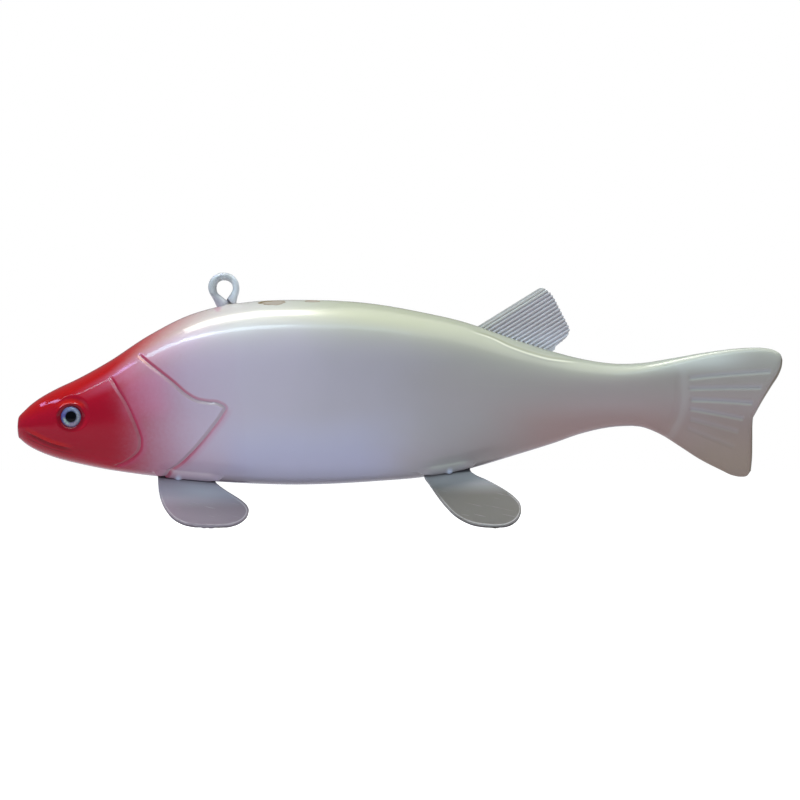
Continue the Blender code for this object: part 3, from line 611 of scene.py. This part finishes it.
def bodyPaint():
    pot = PaintPot("pearl_paint", Roughness=0.32, Coat_Roughness=0.085, Coat_IOR=1.33, Specular_IOR_Level=0.0)
    d, z = pot.place("d"), pot.place("z")
    seam, seamShown = pot.reading("seam"), pot.reading("seamShown")
    cloud, speck = pot.noise(24.0, 2.0), pot.noise(0.9, 2.0)
    drift = (cloud - 0.5) * 24.0
    # pearl on the flank, nose to tail: the pearl's own tones, with painted shade making it darker towards the
    # tail
    colour = pot.node(
        "ShaderNodeValToRGB",
        {"stops": (
            (0.15, rgb(208, 188, 218)), (0.3, rgb(208, 201, 214)), (0.45, rgb(189, 184, 195)),
            (0.6, rgb(169, 165, 162)), (0.72, rgb(172, 154, 155)), (0.88, rgb(165, 148, 146)),
            (1.0, rgb(165, 149, 145)),
        )},
        {0: (d + drift) / 203.2},
    )
    low = pot.step(z + drift * 0.2, 33.0, 18.0)
    blue = low * pot.band(d + drift, 50.0, 62.0, 88.0, 104.0)
    colour = pot.mix(blue * 0.55, colour, rgb(190, 194, 226))
    rose = low * pot.step(d + drift, 128.0, 145.0)
    colour = pot.mix(rose * 0.45, colour, rgb(178, 148, 148))
    russet = pot.step(z, 37.0, 29.0) * pot.band(d, 120.0, 142.0, 168.0, 182.0)
    colour = pot.mix(russet * 0.42, colour, rgb(172, 136, 128))
    milky = pot.band(z, 27.0, 34.0, 41.0, 45.0) * pot.step(d, 95.0, 120.0)
    colour = pot.mix(milky * 0.3, colour, rgb(190, 180, 180))
    # ivory on the back, greener behind the screw eye
    up = pot.node("ShaderNodeSeparateXYZ", None, {0: pot.node("ShaderNodeNewGeometry", out=1)}, out=2)
    ivory = pot.mix(pot.step(d, 58.0, 92.0), rgb(204, 202, 194), rgb(184, 187, 162))
    ivory = pot.mix(pot.step(d, 150.0, 185.0), ivory, rgb(184, 188, 170))
    colour = pot.mix(pot.step(up + (cloud - 0.5) * 0.2, 0.05, 0.72), colour, ivory)
    moss = pot.step(z + drift * 0.08, 31.0, 44.0) * pot.step(d, 100.0, 145.0)
    # painted highlight: the tail's upper edge lighter where it turns up to the light
    tailTopHighlight = pot.step(z, 39.5, 45.0) * pot.step(d, 150.0, 172.0)
    tailTopHighlight = tailTopHighlight * pot.step(d, 198.0, 184.0, 0.3) * pot.step(up, 0.75, 0.2)
    green = pot.mix(tailTopHighlight, rgb(176, 180, 170), rgb(216, 223, 218))
    colour = pot.mix(moss * (0.55 + tailTopHighlight * 0.25), colour, green)
    # painted shade: the belly darker towards the bottom, and faces turned down darker still
    belly = pot.step(z, 17.5, 9.0) * pot.step(d, 40.0, 60.0)
    colour = pot.mix(belly * 0.6, colour, rgb(146, 136, 146))
    undersideShade = pot.step(up, -0.84, -0.98) * pot.step(d, 25.0, 45.0)
    colour = pot.mix(undersideShade * 0.5, colour, rgb(100, 91, 96))
    # olive between the crest of putty and the dorsal fin, and a painted highlight along the crest
    crest, crestShown = pot.reading("crest"), pot.reading("crestShown")
    beside = pot.band(crest, 0.3, 0.6, 1.0, 1.6) * crestShown
    colour = pot.mix(beside * 0.45, colour, rgb(150, 150, 124))
    line = pot.band(crest, -0.5, -0.1, 0.1, 0.45) * crestShown
    colour = pot.mix(line * 0.6, colour, rgb(236, 236, 216))
    # red head, blown on with an airbrush that fades over the shoulder and reaches further on the ridge
    spray = d + drift * 0.2 + (speck - 0.5) * 2.5
    spray = spray + pot.step(z, 27.0, 42.0) * 3.0 - pot.step(up, 0.55, 0.95) * 8.0
    red = pot.node(
        "ShaderNodeValToRGB",
        {"stops": (
            (0.0, 1.0), (0.14, 1.0), (0.22, 0.97), (0.31, 0.84), (0.42, 0.58), (0.54, 0.33), (0.68, 0.1),
            (0.95, 0.0),
        )},
        {0: (spray - 18.0) / 45.0},
    )
    colour = pot.mix(red, colour, pot.mix(pot.step(up, 0.1, 0.7), rgb(174, 14, 42), rgb(172, 15, 18)))
    # painted sheen: a soft violet reflection below the ridge of the head, and a pink one on the temple
    shoulder = pot.band(up, 0.2, 0.42, 0.54, 0.72) * pot.band(d, 12.0, 30.0, 46.0, 58.0)
    colour = pot.mix(shoulder * 0.2, colour, rgb(212, 164, 208))
    templeSheen = pot.band(z, 27.0, 33.0, 38.0, 44.0) * pot.band(d, 26.0, 31.0, 36.0, 44.0)
    colour = pot.mix(templeSheen * 0.22, colour, rgb(248, 150, 192))
    # the wall before each gill cut was left bare, the wall behind it is red with a blush beyond
    blush = pot.step(seam, 2.6, 0.4) * pot.step(seam, -0.1, 0.2) * pot.step(z, 33.0, 29.0)
    colour = pot.mix(blush * seamShown * 0.3, colour, rgb(206, 96, 140))
    before = pot.band(seam, -0.95, -0.7, -0.12, 0.08) * seamShown
    behind = pot.band(seam, -0.08, 0.1, 0.45, 0.95) * seamShown
    colour = pot.mix(before * (0.4 - red * 0.22), colour, rgb(170, 150, 152))
    crimson = 0.7 - pot.step(d, 40.0, 53.0) * 0.4     # fainter towards the shoulder's point
    colour = pot.mix(behind * crimson, colour, rgb(188, 34, 76))
    # painted shade darkens the socket round the eye, a painted highlight makes the brow orange, the mouth is
    # darker in its groove and along a line below it
    fromEye = pot.reading("fromEye")
    litBrow = pot.band(fromEye, 3.5, 3.9, 4.6, 5.4) * pot.step(z, 31.6, 33.0)
    colour = pot.mix(litBrow * 0.6, colour, rgb(224, 40, 22))
    colour = pot.mix(pot.step(fromEye, 4.3, 3.3) * 0.75, colour, rgb(112, 6, 26))
    lip, lipShown = pot.reading("lip"), pot.reading("lipShown")
    # painted shade: the underside of the jaw a deeper red
    jawShade = pot.step(z, 22.5, 20.5) * pot.step(d, 22.0, 12.0)
    colour = pot.mix(jawShade * 0.3, colour, rgb(150, 8, 26))
    # painted highlight: a brighter orange red along the upper lip
    above = pot.band(lip, 0.1, 0.6, 1.0, 2.0) * lipShown
    colour = pot.mix(above * 0.6, colour, rgb(206, 26, 18))
    crease = pot.band(lip, -1.9, -1.6, -1.5, -1.2) * lipShown
    colour = pot.mix(pot.reading("hollow") * 0.5, colour, rgb(92, 6, 20))
    colour = pot.mix(crease * 0.5, colour, rgb(92, 6, 20))
    # the tail: blue grey painted into the rays as a highlight for the cool light their lower walls catch, pale
    # band behind the root line, painted shade on the rear rim where it turns away
    colour = pot.mix(pot.reading("ray") * 0.32, colour, rgb(190, 194, 210))
    afterRoot = pot.band(pot.reading("tailRoot"), 0.3, 1.4, 1.8, 3.4)
    colour = pot.mix(afterRoot * 0.16, colour, rgb(206, 206, 206))
    foot = pot.step(d, 160.0, 185.0) * pot.step(z, 34.0, 16.0)
    colour = pot.mix(foot * 0.5, colour, rgb(156, 142, 116))
    colour = pot.mix(pot.step(pot.reading("rear"), 0.86, 0.91) * 0.75, colour, rgb(116, 100, 74))
    # putty over the fin roots: painted bounce light above it, a painted highlight along its top and painted
    # shade along its foot
    bounceHaze = pot.mix(pot.step(d, 60.0, 108.0), rgb(218, 202, 216), rgb(194, 202, 196))
    colour = pot.mix(pot.reading("puttyHalo") * pot.step(d, 39.5, 44.0) * 0.32, colour, bounceHaze)
    sheenAndWear = pot.mix(pot.step(d, 60.0, 108.0), rgb(226, 214, 222), rgb(204, 212, 202))
    colour = pot.mix(pot.reading("putty") * pot.step(d, 39.5, 42.0) * 0.6, colour, sheenAndWear)
    colour = pot.mix(pot.reading("puttyFoot") * 0.45, colour, rgb(104, 102, 118))
    # a painted blue-white glint on the drop of glue on the putty
    colour = pot.mix(pot.reading("glue") * 0.75, colour, rgb(214, 228, 252))
    # pink stain at the foot of the screw eye
    stain = pot.step(((d - 53.2) ** 2.0 + (z - 58.3) ** 2.0) ** 0.5 + (speck - 0.5) * 0.9, 1.4, 0.4)
    colour = pot.mix(stain * 0.42, colour, rgb(190, 116, 140))
    # bare wood in the chips, with a dark broken edge
    chip = pot.reading("chipped")
    inside = pot.step(chip, 1.1, 0.98)
    broken = pot.step(chip, 0.66, 0.92) * (0.3 + pot.step(d, 68.6, 66.6) * 0.7)
    colour = pot.mix(inside, colour, pot.mix(broken, rgb(162, 153, 139), rgb(120, 103, 72)))
    waves = pot.bump(pot.noise(14.0, 1.0), 0.12)
    return pot.feed(
        Base_Color=colour, Normal=pot.bump(speck, 0.006, waves),
        Roughness=pot.step(inside, 0.2, 0.6, 0.32, 0.7), Coat_Weight=1.0 - inside, Metallic=(1.0 - red) * 0.12,
    )


def makeBody():
    piece = flatGrid("fish_body", carving["rings"] + carving["tailRings"], carving["around"])
    for finer in carving["finer"]:
        refine(piece, *finer)
    ahead = 1 - tailShare
    giveValue(piece, "rear", np.clip((readPoints(piece.data)[:, 0] - ahead) / tailShare, 0, 1))
    closeUp(wrap(piece, hull))
    carve(piece)
    smoothShade(piece, 180.0)
    handOver(piece, bodyPaint(), "painted_wood", "body")


# Side fins: flat sheet, splayed from the upright

sideFins = dict(
    sheet=0.9, tongue=3.0, columns=48, rows=84, bend=0.35, lip=0.03, lipInset=0.38, lipWidth=0.13, edge=0.2,
    pectoral_fin=dict(
        rootY=6.4,
        outline=(
            (37.4, 13.2), (37.6, 10.3), (38.2, 7.7), (39.6, 4.9), (41.5, 2.7), (44.2, 1.2), (47.3, 0.5),
            (50.6, 0.3), (53.9, 0.3), (56.8, 0.6), (59.3, 1.5), (60.9, 3.0), (61.3, 4.4), (60.8, 5.6),
            (59.7, 6.7), (57.4, 8.3), (55.2, 9.7), (53.7, 10.8), (52.6, 11.8),
        ),
    ),
    pelvic_fin=dict(
        rootY=5.6,
        outline=(
            (108.0, 13.7), (109.2, 11.9), (110.8, 9.6), (112.4, 7.4), (114.1, 5.4), (115.7, 3.8),
            (117.9, 2.3), (120.6, 1.1), (123.8, 0.5), (127.1, 0.3), (129.8, 0.6), (131.8, 1.5),
            (133.1, 2.9), (133.7, 4.7), (133.3, 6.4), (132.0, 7.9), (129.8, 9.6), (127.6, 10.9),
            (124.6, 12.5), (121.6, 13.9), (120.4, 14.8),
        ),
    ),
)


def finPaint():
    pot = PaintPot("silver_fin_paint", Metallic=0.15, Coat_Weight=0.2, Coat_Roughness=0.2)
    d, z = pot.place("d"), pot.place("z")
    cloud, fine = pot.noise(9.0, 3.0), pot.noise(0.35, 2.0)
    base = pot.mix(pot.step(d, 60.0, 108.0), rgb(104, 91, 104), rgb(70, 66, 58))
    upper = pot.step(z - pot.step(d, 60.0, 108.0) * 3.5, 5.0, 10.5)
    rootLightened = pot.mix(pot.step(d, 60.0, 108.0), rgb(188, 190, 202), rgb(170, 172, 178))
    base = pot.mix(upper * 0.68, base, rootLightened)                # painted light: the sheet lighter at the root, where the body's shade falls
    pink = pot.step(d + (cloud - 0.5) * 8.0, 50.0, 38.0) * 0.4
    base = pot.mix(pink, base, rgb(126, 98, 118))
    base = pot.mix((cloud - 0.4) * 0.4, base, rgb(92, 92, 97))
    # worn line just inside the edge, partly a painted highlight on the filed edge, and thin scratches along the
    # sheet
    inset = pot.reading("inset")
    sheenAndWear = pot.band(inset, 0.2, 0.3, 0.42, 0.55) * pot.step(z, 11.0, 7.0) * pot.step(cloud, 0.3, 0.55)
    base = pot.mix(sheenAndWear * 0.38, base, rgb(196, 192, 194))
    base = pot.mix(pot.step(inset, 0.2, 0.08) * 0.35, base, rgb(160, 154, 158))
    along = pot.node("ShaderNodeCombineXYZ", None, {0: d * 0.05 + z * 0.012, 1: z * 1.1 + d * 0.24})
    grain = pot.node("ShaderNodeTexNoise", None, {"Vector": along, "Scale": 2.2, "Detail": 2.0})
    scratch = pot.step(grain, 0.66, 0.7)
    base = pot.mix(scratch * 0.25, base, rgb(160, 156, 160))
    shadowUnderPutty = pot.step(pot.reading("below"), 0.35, -0.1)            # painted shadow in the joint with the wood, under the putty
    base = pot.mix(shadowUnderPutty * 0.85, base, rgb(38, 36, 42))
    bump = pot.bump(fine - scratch * 0.3, 0.01)
    return pot.feed(Base_Color=base, Roughness=0.42 + cloud * 0.12, Normal=bump)


def finSheet(name, outline, rootY, side):
    outline = np.array(outline)
    lowest = outline[:, 1].argmin()
    top = (0, sideFins["tongue"])
    front = byLength(np.vstack([outline[0] + top, outline[:lowest + 1]]))
    rear = byLength(np.vstack([outline[-1] + top, outline[:lowest - 1:-1]]))
    rim = smoothRows(byLength(outline), np.linspace(0, 1, 160))
    inset = {}

    def place(u, v):             # u from the front edge to the rear, v from the tongue down to the lowest point
        d, z = (smoothRows(front, v) * (1 - u[:, None]) + smoothRows(rear, v) * u[:, None]).T
        rootZ = np.interp(d, (outline[0, 0], outline[-1, 0]), (outline[0, 1], outline[-1, 1]))
        slope = (outline[-1, 1] - outline[0, 1]) / (outline[-1, 0] - outline[0, 0])
        rootZ += slope * np.clip(d - outline[-1, 0], 0, None)
        inset["below"] = rootZ - z
        inset["mm"] = np.min([np.hypot(d - point[0], z - point[1]) for point in rim], axis=0)
        lip = sideFins["lip"] * bell(inset["mm"], sideFins["lipInset"], sideFins["lipWidth"])
        bend = sideFins["bend"] * np.sin(u * 2.2) * v * (1 - v) * 2
        y = rootY + (rootZ - z) * tan(splay) + (lip + bend) * cos(splay)
        return d, side * y, z + (lip + bend) * sin(splay)

    piece = wrap(flatGrid(name, sideFins["columns"], sideFins["rows"]), place)
    giveValue(piece, "inset", inset["mm"])
    giveValue(piece, "below", inset["below"])
    closeUp(piece)
    applyModifier(piece, "SOLIDIFY", thickness=sideFins["sheet"] * mm, offset=0.0)
    applyModifier(
        piece, "BEVEL", width=sideFins["edge"] * mm, segments=3, limit_method="ANGLE",
        angle_limit=radians(50),
    )
    points = readPoints(piece.data)
    points[:, 2] -= points[:, 2].min()
    points[:, 1] -= side * max(0.0, np.abs(points[:, 1]).max() - cadBox[1][1])       # within the solids' width
    writePoints(piece.data, points)
    closeUp(piece)
    smoothShade(piece, 50.0)
    return piece


def makeSideFins():
    paint = finPaint()
    for node in ("pectoral_fin", "pelvic_fin"):
        fin = sideFins[node]
        for hand, side in (("left", -1), ("right", 1)):
            piece = finSheet(f"sheet_{node}_{hand}", fin["outline"], fin["rootY"], side)
            handOver(piece, paint, "painted_tin", f"{node}_{hand}")


# Dorsal fin: crimped sheet with its flutes parallel to its front edge

dorsal = dict(
    angle=31.8, pitch=1.0, rib=1.1, flutes=14, hem=1.0, crimp=0.17, sheet=0.32, tongue=2.4, tooth=0.3,
    root=((122.4, 53.7), (142.8, 46.9)),
    rear=(
        (137.6, 63.4), (139.3, 63.8), (140.4, 63.4), (141.3, 62.8), (142.0, 62.0), (142.7, 60.9), (146.5, 53.5),
        (146.7, 52.7), (146.5, 51.8), (145.7, 50.6), (144.6, 49.6), (142.9, 48.2), (142.6, 46.8),
    ),
    columns=252, rows=30,
)


def dorsalPaint():
    pot = PaintPot("silver_crimp_paint", Roughness=0.45, Coat_Weight=0.3, Coat_Roughness=0.2)
    groove = pot.reading("groove")
    cloud, fine = pot.noise(5.0, 3.0), pot.noise(0.3, 2.0)
    # painted shade: the sheet darker in the grooves of its flutes
    base = pot.mix(groove, rgb(208, 203, 204), rgb(166, 163, 170))
    base = pot.mix(pot.reading("rib"), base, rgb(224, 224, 216))
    base = pot.mix((cloud - 0.45) * 0.4, base, rgb(166, 164, 164))
    foot = pot.step(pot.place("z"), 55.0, 49.0)
    base = pot.mix(foot * 0.45, base, rgb(226, 228, 240))
    return pot.feed(Base_Color=base, Normal=pot.bump(fine, 0.008))


def makeDorsalFin():
    turn = radians(dorsal["angle"])
    along, over = np.array((cos(turn), sin(turn))), np.array((sin(turn), -cos(turn)))
    front, rear = (np.array(point) for point in dorsal["root"])
    width = dorsal["rib"] + dorsal["flutes"] * dorsal["pitch"] + dorsal["hem"]
    rootLine = rear - front
    outline = np.array(dorsal["rear"]) - front
    endRows = np.column_stack([outline @ over, outline @ along])
    endRows = endRows[np.concatenate([[True], np.diff(endRows[:, 0]) > 0])]
    rowOf = {}

    def place(u, v):
        across = u * width
        start = front + rootLine * (across / (rootLine @ over))[:, None]
        reach = np.interp(across, *endRows.T) - (start - front) @ along
        phase = (across - dorsal["rib"]) / dorsal["pitch"]
        fluted = (phase > 0) & (phase < dorsal["flutes"])
        wave = np.where(fluted, 0.5 + 0.5 * np.cos(2 * pi * phase), 1.0)      # 1 at the foot of a groove
        narrow = 1 - wave ** 0.7
        reach = reach - dorsal["tooth"] * np.where(fluted, wave, 0.0)
        length = -dorsal["tongue"] + (reach + dorsal["tongue"]) * v
        d, z = (start + along * length[:, None]).T
        y = dorsal["crimp"] * (1 - 2 * narrow) * np.where(fluted, 1.0, 0.0)
        rise = -dorsal["crimp"] + 2 * dorsal["crimp"] * fade(-phase * dorsal["pitch"], 0.25, 0.0)
        y = np.where(phase <= 0, rise, y)
        crease = bell(across, 0.42, 0.13)            # the hem folded over the front edge
        y = y + 0.1 * crease
        rowOf["groove"] = np.where(fluted, 1 - narrow, crease)
        rowOf["rib"] = np.where(phase < 1.2, 0.8 * (1 - rowOf["groove"]), 0.0)
        return d, y, z

    piece = flatGrid("crimped_dorsal_fin", dorsal["columns"], dorsal["rows"])
    wrap(piece, place)
    giveValue(piece, "groove", rowOf["groove"])
    giveValue(piece, "rib", rowOf["rib"])
    applyModifier(piece, "SOLIDIFY", thickness=dorsal["sheet"] * mm, offset=0.0)
    closeUp(piece)
    smoothShade(piece, 55.0)
    handOver(piece, dorsalPaint(), "crimped_tin", "dorsal_fin")


# Screw eye: wire that rises out of the back, curls round and comes down beside its shank

screwEye = dict(
    # d, z, radius of the wire
    route=(
        (54.8, 52.0, 1.0), (54.8, 56.5, 1.2), (54.8, 58.0, 1.6), (54.5, 59.2, 1.62), (53.85, 60.05, 1.42),
        (53.3, 60.75, 1.22), (52.55, 61.7, 0.97), (52.0, 62.7, 1.02), (51.77, 63.8, 1.12),
        (52.15, 65.35, 1.12), (53.2, 66.4, 1.07), (54.85, 66.8, 1.04), (56.5, 66.4, 0.98),
        (57.65, 65.3, 0.9), (58.07, 63.8, 0.86), (57.95, 62.8, 0.92), (57.5, 61.7, 1.04),
        (57.05, 60.7, 1.26), (56.8, 60.0, 1.34), (56.7, 59.5, 1.2),
    ),
    steps=170, sides=28, endRound=0.35,
)


def wirePaint():
    pot = PaintPot("wire_paint", Metallic=0.1, Coat_Weight=0.5, Coat_Roughness=0.12)
    z = pot.place("z")
    cloud, fine = pot.noise(2.2, 3.0), pot.noise(0.4, 2.0)
    base = pot.mix(pot.step(cloud, 0.35, 0.7), rgb(200, 206, 208), rgb(172, 175, 180))
    base = pot.mix(pot.step(z, 62.5, 60.0) * 0.55, base, rgb(196, 190, 202))
    d = pot.place("d")
    # painted light: the right-hand side of the loop lighter
    base = pot.mix(pot.step(d, 56.6, 57.6) * 0.7, base, rgb(240, 248, 255))
    # painted shadow in the gap between the free end and the shank
    over, down = (d - 55.45) * 0.8 + (z - 61.1) * 0.6, (d - 55.45) * 0.6 - (z - 61.1) * 0.8
    gapShadow = pot.step(over ** 2.0, 0.12, 0.03) * pot.band(down, -0.3, 0.0, 1.8, 2.4)
    base = pot.mix(gapShadow * 0.85, base, rgb(58, 54, 62))
    return pot.feed(Base_Color=base, Roughness=0.34 + cloud * 0.15, Normal=pot.bump(fine, 0.02))


def makeScrewEye():
    rows = byLength(np.array(screwEye["route"])[:, :2])
    rows = np.column_stack([rows, np.array(screwEye["route"])[:, 2]])
    length = np.linalg.norm(np.diff(rows[:, 1:3], axis=0), axis=1).sum()

    def place(u, v):             # u along the wire, v round it
        d, z, radius = smoothRows(rows, u).T
        after, before = (smoothRows(rows, np.clip(u + step, 0, 1))[:, :2] for step in (0.004, -0.004))
        ahead = after - before
        ahead /= np.linalg.norm(ahead, axis=1)[:, None]
        left = (1 - u) * length
        rounded = np.sqrt(np.clip(1 - (1 - np.clip(left / screwEye["endRound"], 0, 1)) ** 2, 0, 1))
        radius = radius * rounded
        turn = 2 * pi * v
        out = radius * np.cos(turn)
        return d - ahead[:, 1] * out, radius * np.sin(turn), z + ahead[:, 0] * out

    piece = wrap(flatGrid("wire_screw_eye", screwEye["steps"], screwEye["sides"]), place)
    closeUp(piece)
    awake(piece)
    bpy.ops.object.mode_set(mode="EDIT")         # close the foot, which stands in the wood
    bpy.ops.mesh.select_all(action="DESELECT")
    bpy.ops.mesh.select_mode(type="EDGE")
    bpy.ops.mesh.select_non_manifold()
    bpy.ops.mesh.fill()
    bpy.ops.mesh.select_all(action="SELECT")
    bpy.ops.mesh.normals_make_consistent(inside=False)
    bpy.ops.object.mode_set(mode="OBJECT")
    smoothShade(piece, 60.0)
    handOver(piece, wirePaint(), "painted_wire", "screw_eye")


# Eyes: a low glass dome over a silver iris and a black pupil

eyes = dict(radius=2.8, dome=0.8, seat=1.05, front=0.75, behind=0.9, segments=64, rings=28)


def eyePaint():
    pot = PaintPot("glass_eye", Roughness=0.25, Coat_Weight=0.35, Coat_Roughness=0.05, Specular_IOR_Level=0.0)
    away, aside, aloft = pot.reading("away"), pot.reading("aside"), pot.reading("aloft")
    iris = pot.mix(pot.step(aside, -0.9, 0.6), rgb(98, 96, 164), rgb(158, 164, 172))
    iris = pot.mix(pot.step(aloft, 0.2, 1.0) * 0.7, iris, rgb(112, 126, 158))
    iris = pot.mix(pot.step(aloft, -0.3, -1.0) * 0.7, iris, rgb(172, 148, 176))
    # painted highlight: a green patch at the lower left of the iris
    green = pot.step(aside + aloft, -0.9, -1.35) * pot.step(away, 2.3, 1.9)
    iris = pot.mix(green * 0.9, iris, rgb(176, 206, 190))
    iris = pot.mix(pot.step(pot.noise(0.5, 2.0), 0.4, 0.62) * 0.45, iris, rgb(92, 92, 112))
    iris = pot.mix(pot.step(away, 2.2, 2.75) * 0.7, iris, rgb(66, 58, 106))
    across, over = away * aside - 0.17, away * aloft - 0.08
    pupil = (across ** 2.0 + over ** 2.0) ** 0.5
    iris = pot.mix(pot.step(pupil, 1.85, 1.6) * 0.6, iris, rgb(40, 46, 84))
    colour = pot.mix(pot.step(pupil, 1.58, 1.38), iris, rgb(4, 5, 10))
    return pot.feed(Base_Color=colour)


def makeEyes():
    paint = eyePaint()
    seatD, seatZ = socket["eye"]
    normal = skinNormal(seatD, seatZ)
    seat = np.array((seatD, skin([seatD], [seatZ])[0], seatZ)) - normal * eyes["seat"]
    sideways = np.cross(normal, (0, 0, 1.0))
    sideways /= np.linalg.norm(sideways)
    upright = np.cross(sideways, normal)
    for hand, side in (("left", -1), ("right", 1)):
        readings = {}

        def place(u, v):         # u from the middle out and round to the back, v round the axis
            out = np.clip(u / eyes["front"], 0, 1)
            behind = np.clip((u - eyes["front"]) / (1 - eyes["front"]), 0, 1)
            radius = eyes["radius"] * np.sin(pi / 2 * out) * (1 - behind)
            height = eyes["dome"] * np.cos(pi / 2 * out) - eyes["behind"] * (behind > 0)
            turn = 2 * pi * v
            readings.update(away=eyes["radius"] * np.sin(pi / 2 * out), aside=np.cos(turn), aloft=np.sin(turn))
            point = seat + np.outer(height, normal) + np.outer(radius * np.cos(turn), sideways)
            point = point + np.outer(radius * np.sin(turn), upright)
            return point[:, 0], side * point[:, 1], point[:, 2]

        piece = wrap(flatGrid(f"glass_eye_{hand}", eyes["rings"], eyes["segments"]), place)
        for reading, values in readings.items():
            giveValue(piece, reading, values)
        closeUp(piece)
        smoothShade(piece, 60.0)
        handOver(piece, paint, "eye_gloss", f"eye_{hand}")


# Studio: pale floor, soft overhead light, a cool arc of panels to the front left

studio = dict(
    cameraFar=5.0, viewWidth=0.2125, viewHeight=0.034,
    # place, size, radiance and colour
    overhead=dict(
        canopy=((0.4, -0.1, 1.3), (1.4, 1.0), 1.75, (1.0, 0.985, 0.95)),
        lamp=((-0.23, -0.02, 1.1), (0.36, 0.5), 11.0, (1.0, 0.975, 0.93)),
    ),
    # azimuth, elevation, size, radiance and colour of the panels
    arc=dict(
        far=1.1,
        panels=(
            (-105.0, 46.0, (0.32, 0.07), 12.0, (0.68, 0.44, 1.0)),
            (-82.0, 50.0, (0.32, 0.075), 18.0, (0.52, 0.5, 1.0)),
            (-59.0, 54.0, (0.27, 0.1), 15.0, (0.5, 0.88, 1.0)),
            (-36.0, 55.0, (0.27, 0.1), 20.0, (0.7, 0.94, 1.0)),
            (-13.0, 55.0, (0.27, 0.12), 10.0, (0.7, 0.88, 1.0)),
            (10.0, 55.0, (0.27, 0.14), 3.0, (0.72, 0.9, 1.0)),
        ),
    ),
    room=(0.88, 0.93, 1.0), roomBright=0.22, floor=(0.4, 0.4, 0.42), floorGlow=0.27,
)


def areaLight(name, place, size, radiance, colour):
    bpy.ops.object.light_add(type="AREA", location=place)
    lamp = bpy.context.object
    lamp.name = name
    lamp.data.shape = "RECTANGLE"
    lamp.data.size, lamp.data.size_y = size
    lamp.data.energy, lamp.data.color = radiance * pi * size[0] * size[1], colour
    aim = Vector((0, 0, 0.034)) - Vector(place)
    lamp.rotation_euler = aim.to_track_quat("-Z", "Y").to_euler()


def makeStudio():
    for name, (place, size, radiance, colour) in studio["overhead"].items():
        areaLight("overhead_" + name, place, size, radiance, colour)
    arc = studio["arc"]
    for number, (azimuth, elevation, size, radiance, colour) in enumerate(arc["panels"]):
        turn, elevation = radians(azimuth), radians(elevation)
        place = Vector((sin(turn) * cos(elevation), -cos(turn) * cos(elevation), sin(elevation))) * arc["far"]
        areaLight(f"arc_panel_{number}", place, size, radiance, colour)
    bpy.ops.mesh.primitive_plane_add(size=8.0, location=(0, 0, -0.0002))
    floor = bpy.context.object
    floor.name = floor.data.name = "studio_floor"
    pot = PaintPot("floor_paint", Roughness=0.9)
    pot.shader.inputs["Base Color"].default_value = (0.5, 0.5, 0.5, 1)
    seen = pot.node("ShaderNodeLightPath")
    glow = pot.node("ShaderNodeEmission", None, {0: (1, 1, 1, 1), 1: 1.0})
    matte = pot.node("ShaderNodeBsdfDiffuse", None, {0: (*studio["floor"], 1)})
    bright = pot.node("ShaderNodeAddShader", None, {0: glow, 1: Value(pot, pot.shader.outputs[0])})
    # the floor glows faintly for all but camera rays, lighting the fish from below like bounce light, and shows
    # plain white to the camera
    faint = pot.node("ShaderNodeEmission", None, {0: (0.97, 0.97, 1, 1), 1: studio["floorGlow"]})
    glowingFloor = pot.node("ShaderNodeAddShader", None, {0: matte, 1: faint})
    both = pot.node("ShaderNodeMixShader", None, {0: seen, 1: glowingFloor, 2: bright})
    pot.tree.links.new(both.socket, pot.tree.nodes["Material Output"].inputs["Surface"])
    floor.data.materials.append(pot.material)
    world = bpy.data.worlds.new("studio_room")
    bpy.context.scene.world = world
    world.use_nodes = True
    nodes, links = world.node_tree.nodes, world.node_tree.links
    room = nodes["Background"]
    room.inputs["Color"].default_value = (*studio["room"], 1)
    room.inputs["Strength"].default_value = studio["roomBright"]
    white = nodes.new("ShaderNodeBackground")
    white.inputs["Color"].default_value = (1, 1, 1, 1)
    path, mixer = nodes.new("ShaderNodeLightPath"), nodes.new("ShaderNodeMixShader")
    links.new(path.outputs["Is Camera Ray"], mixer.inputs[0])
    links.new(room.outputs[0], mixer.inputs[1])
    links.new(white.outputs[0], mixer.inputs[2])
    links.new(mixer.outputs[0], nodes["World Output"].inputs["Surface"])
    bpy.ops.object.camera_add(location=(0, -studio["cameraFar"], studio["viewHeight"]), rotation=(pi / 2, 0, 0))
    camera = bpy.context.object
    camera.data.lens = camera.data.sensor_width * studio["cameraFar"] / studio["viewWidth"]
    bpy.context.scene.camera = camera
    bpy.context.scene.view_settings.view_transform = "Standard"
    print("studio ready")


makeBody()
makeSideFins()
makeDorsalFin()
makeScrewEye()
makeEyes()
makeStudio()
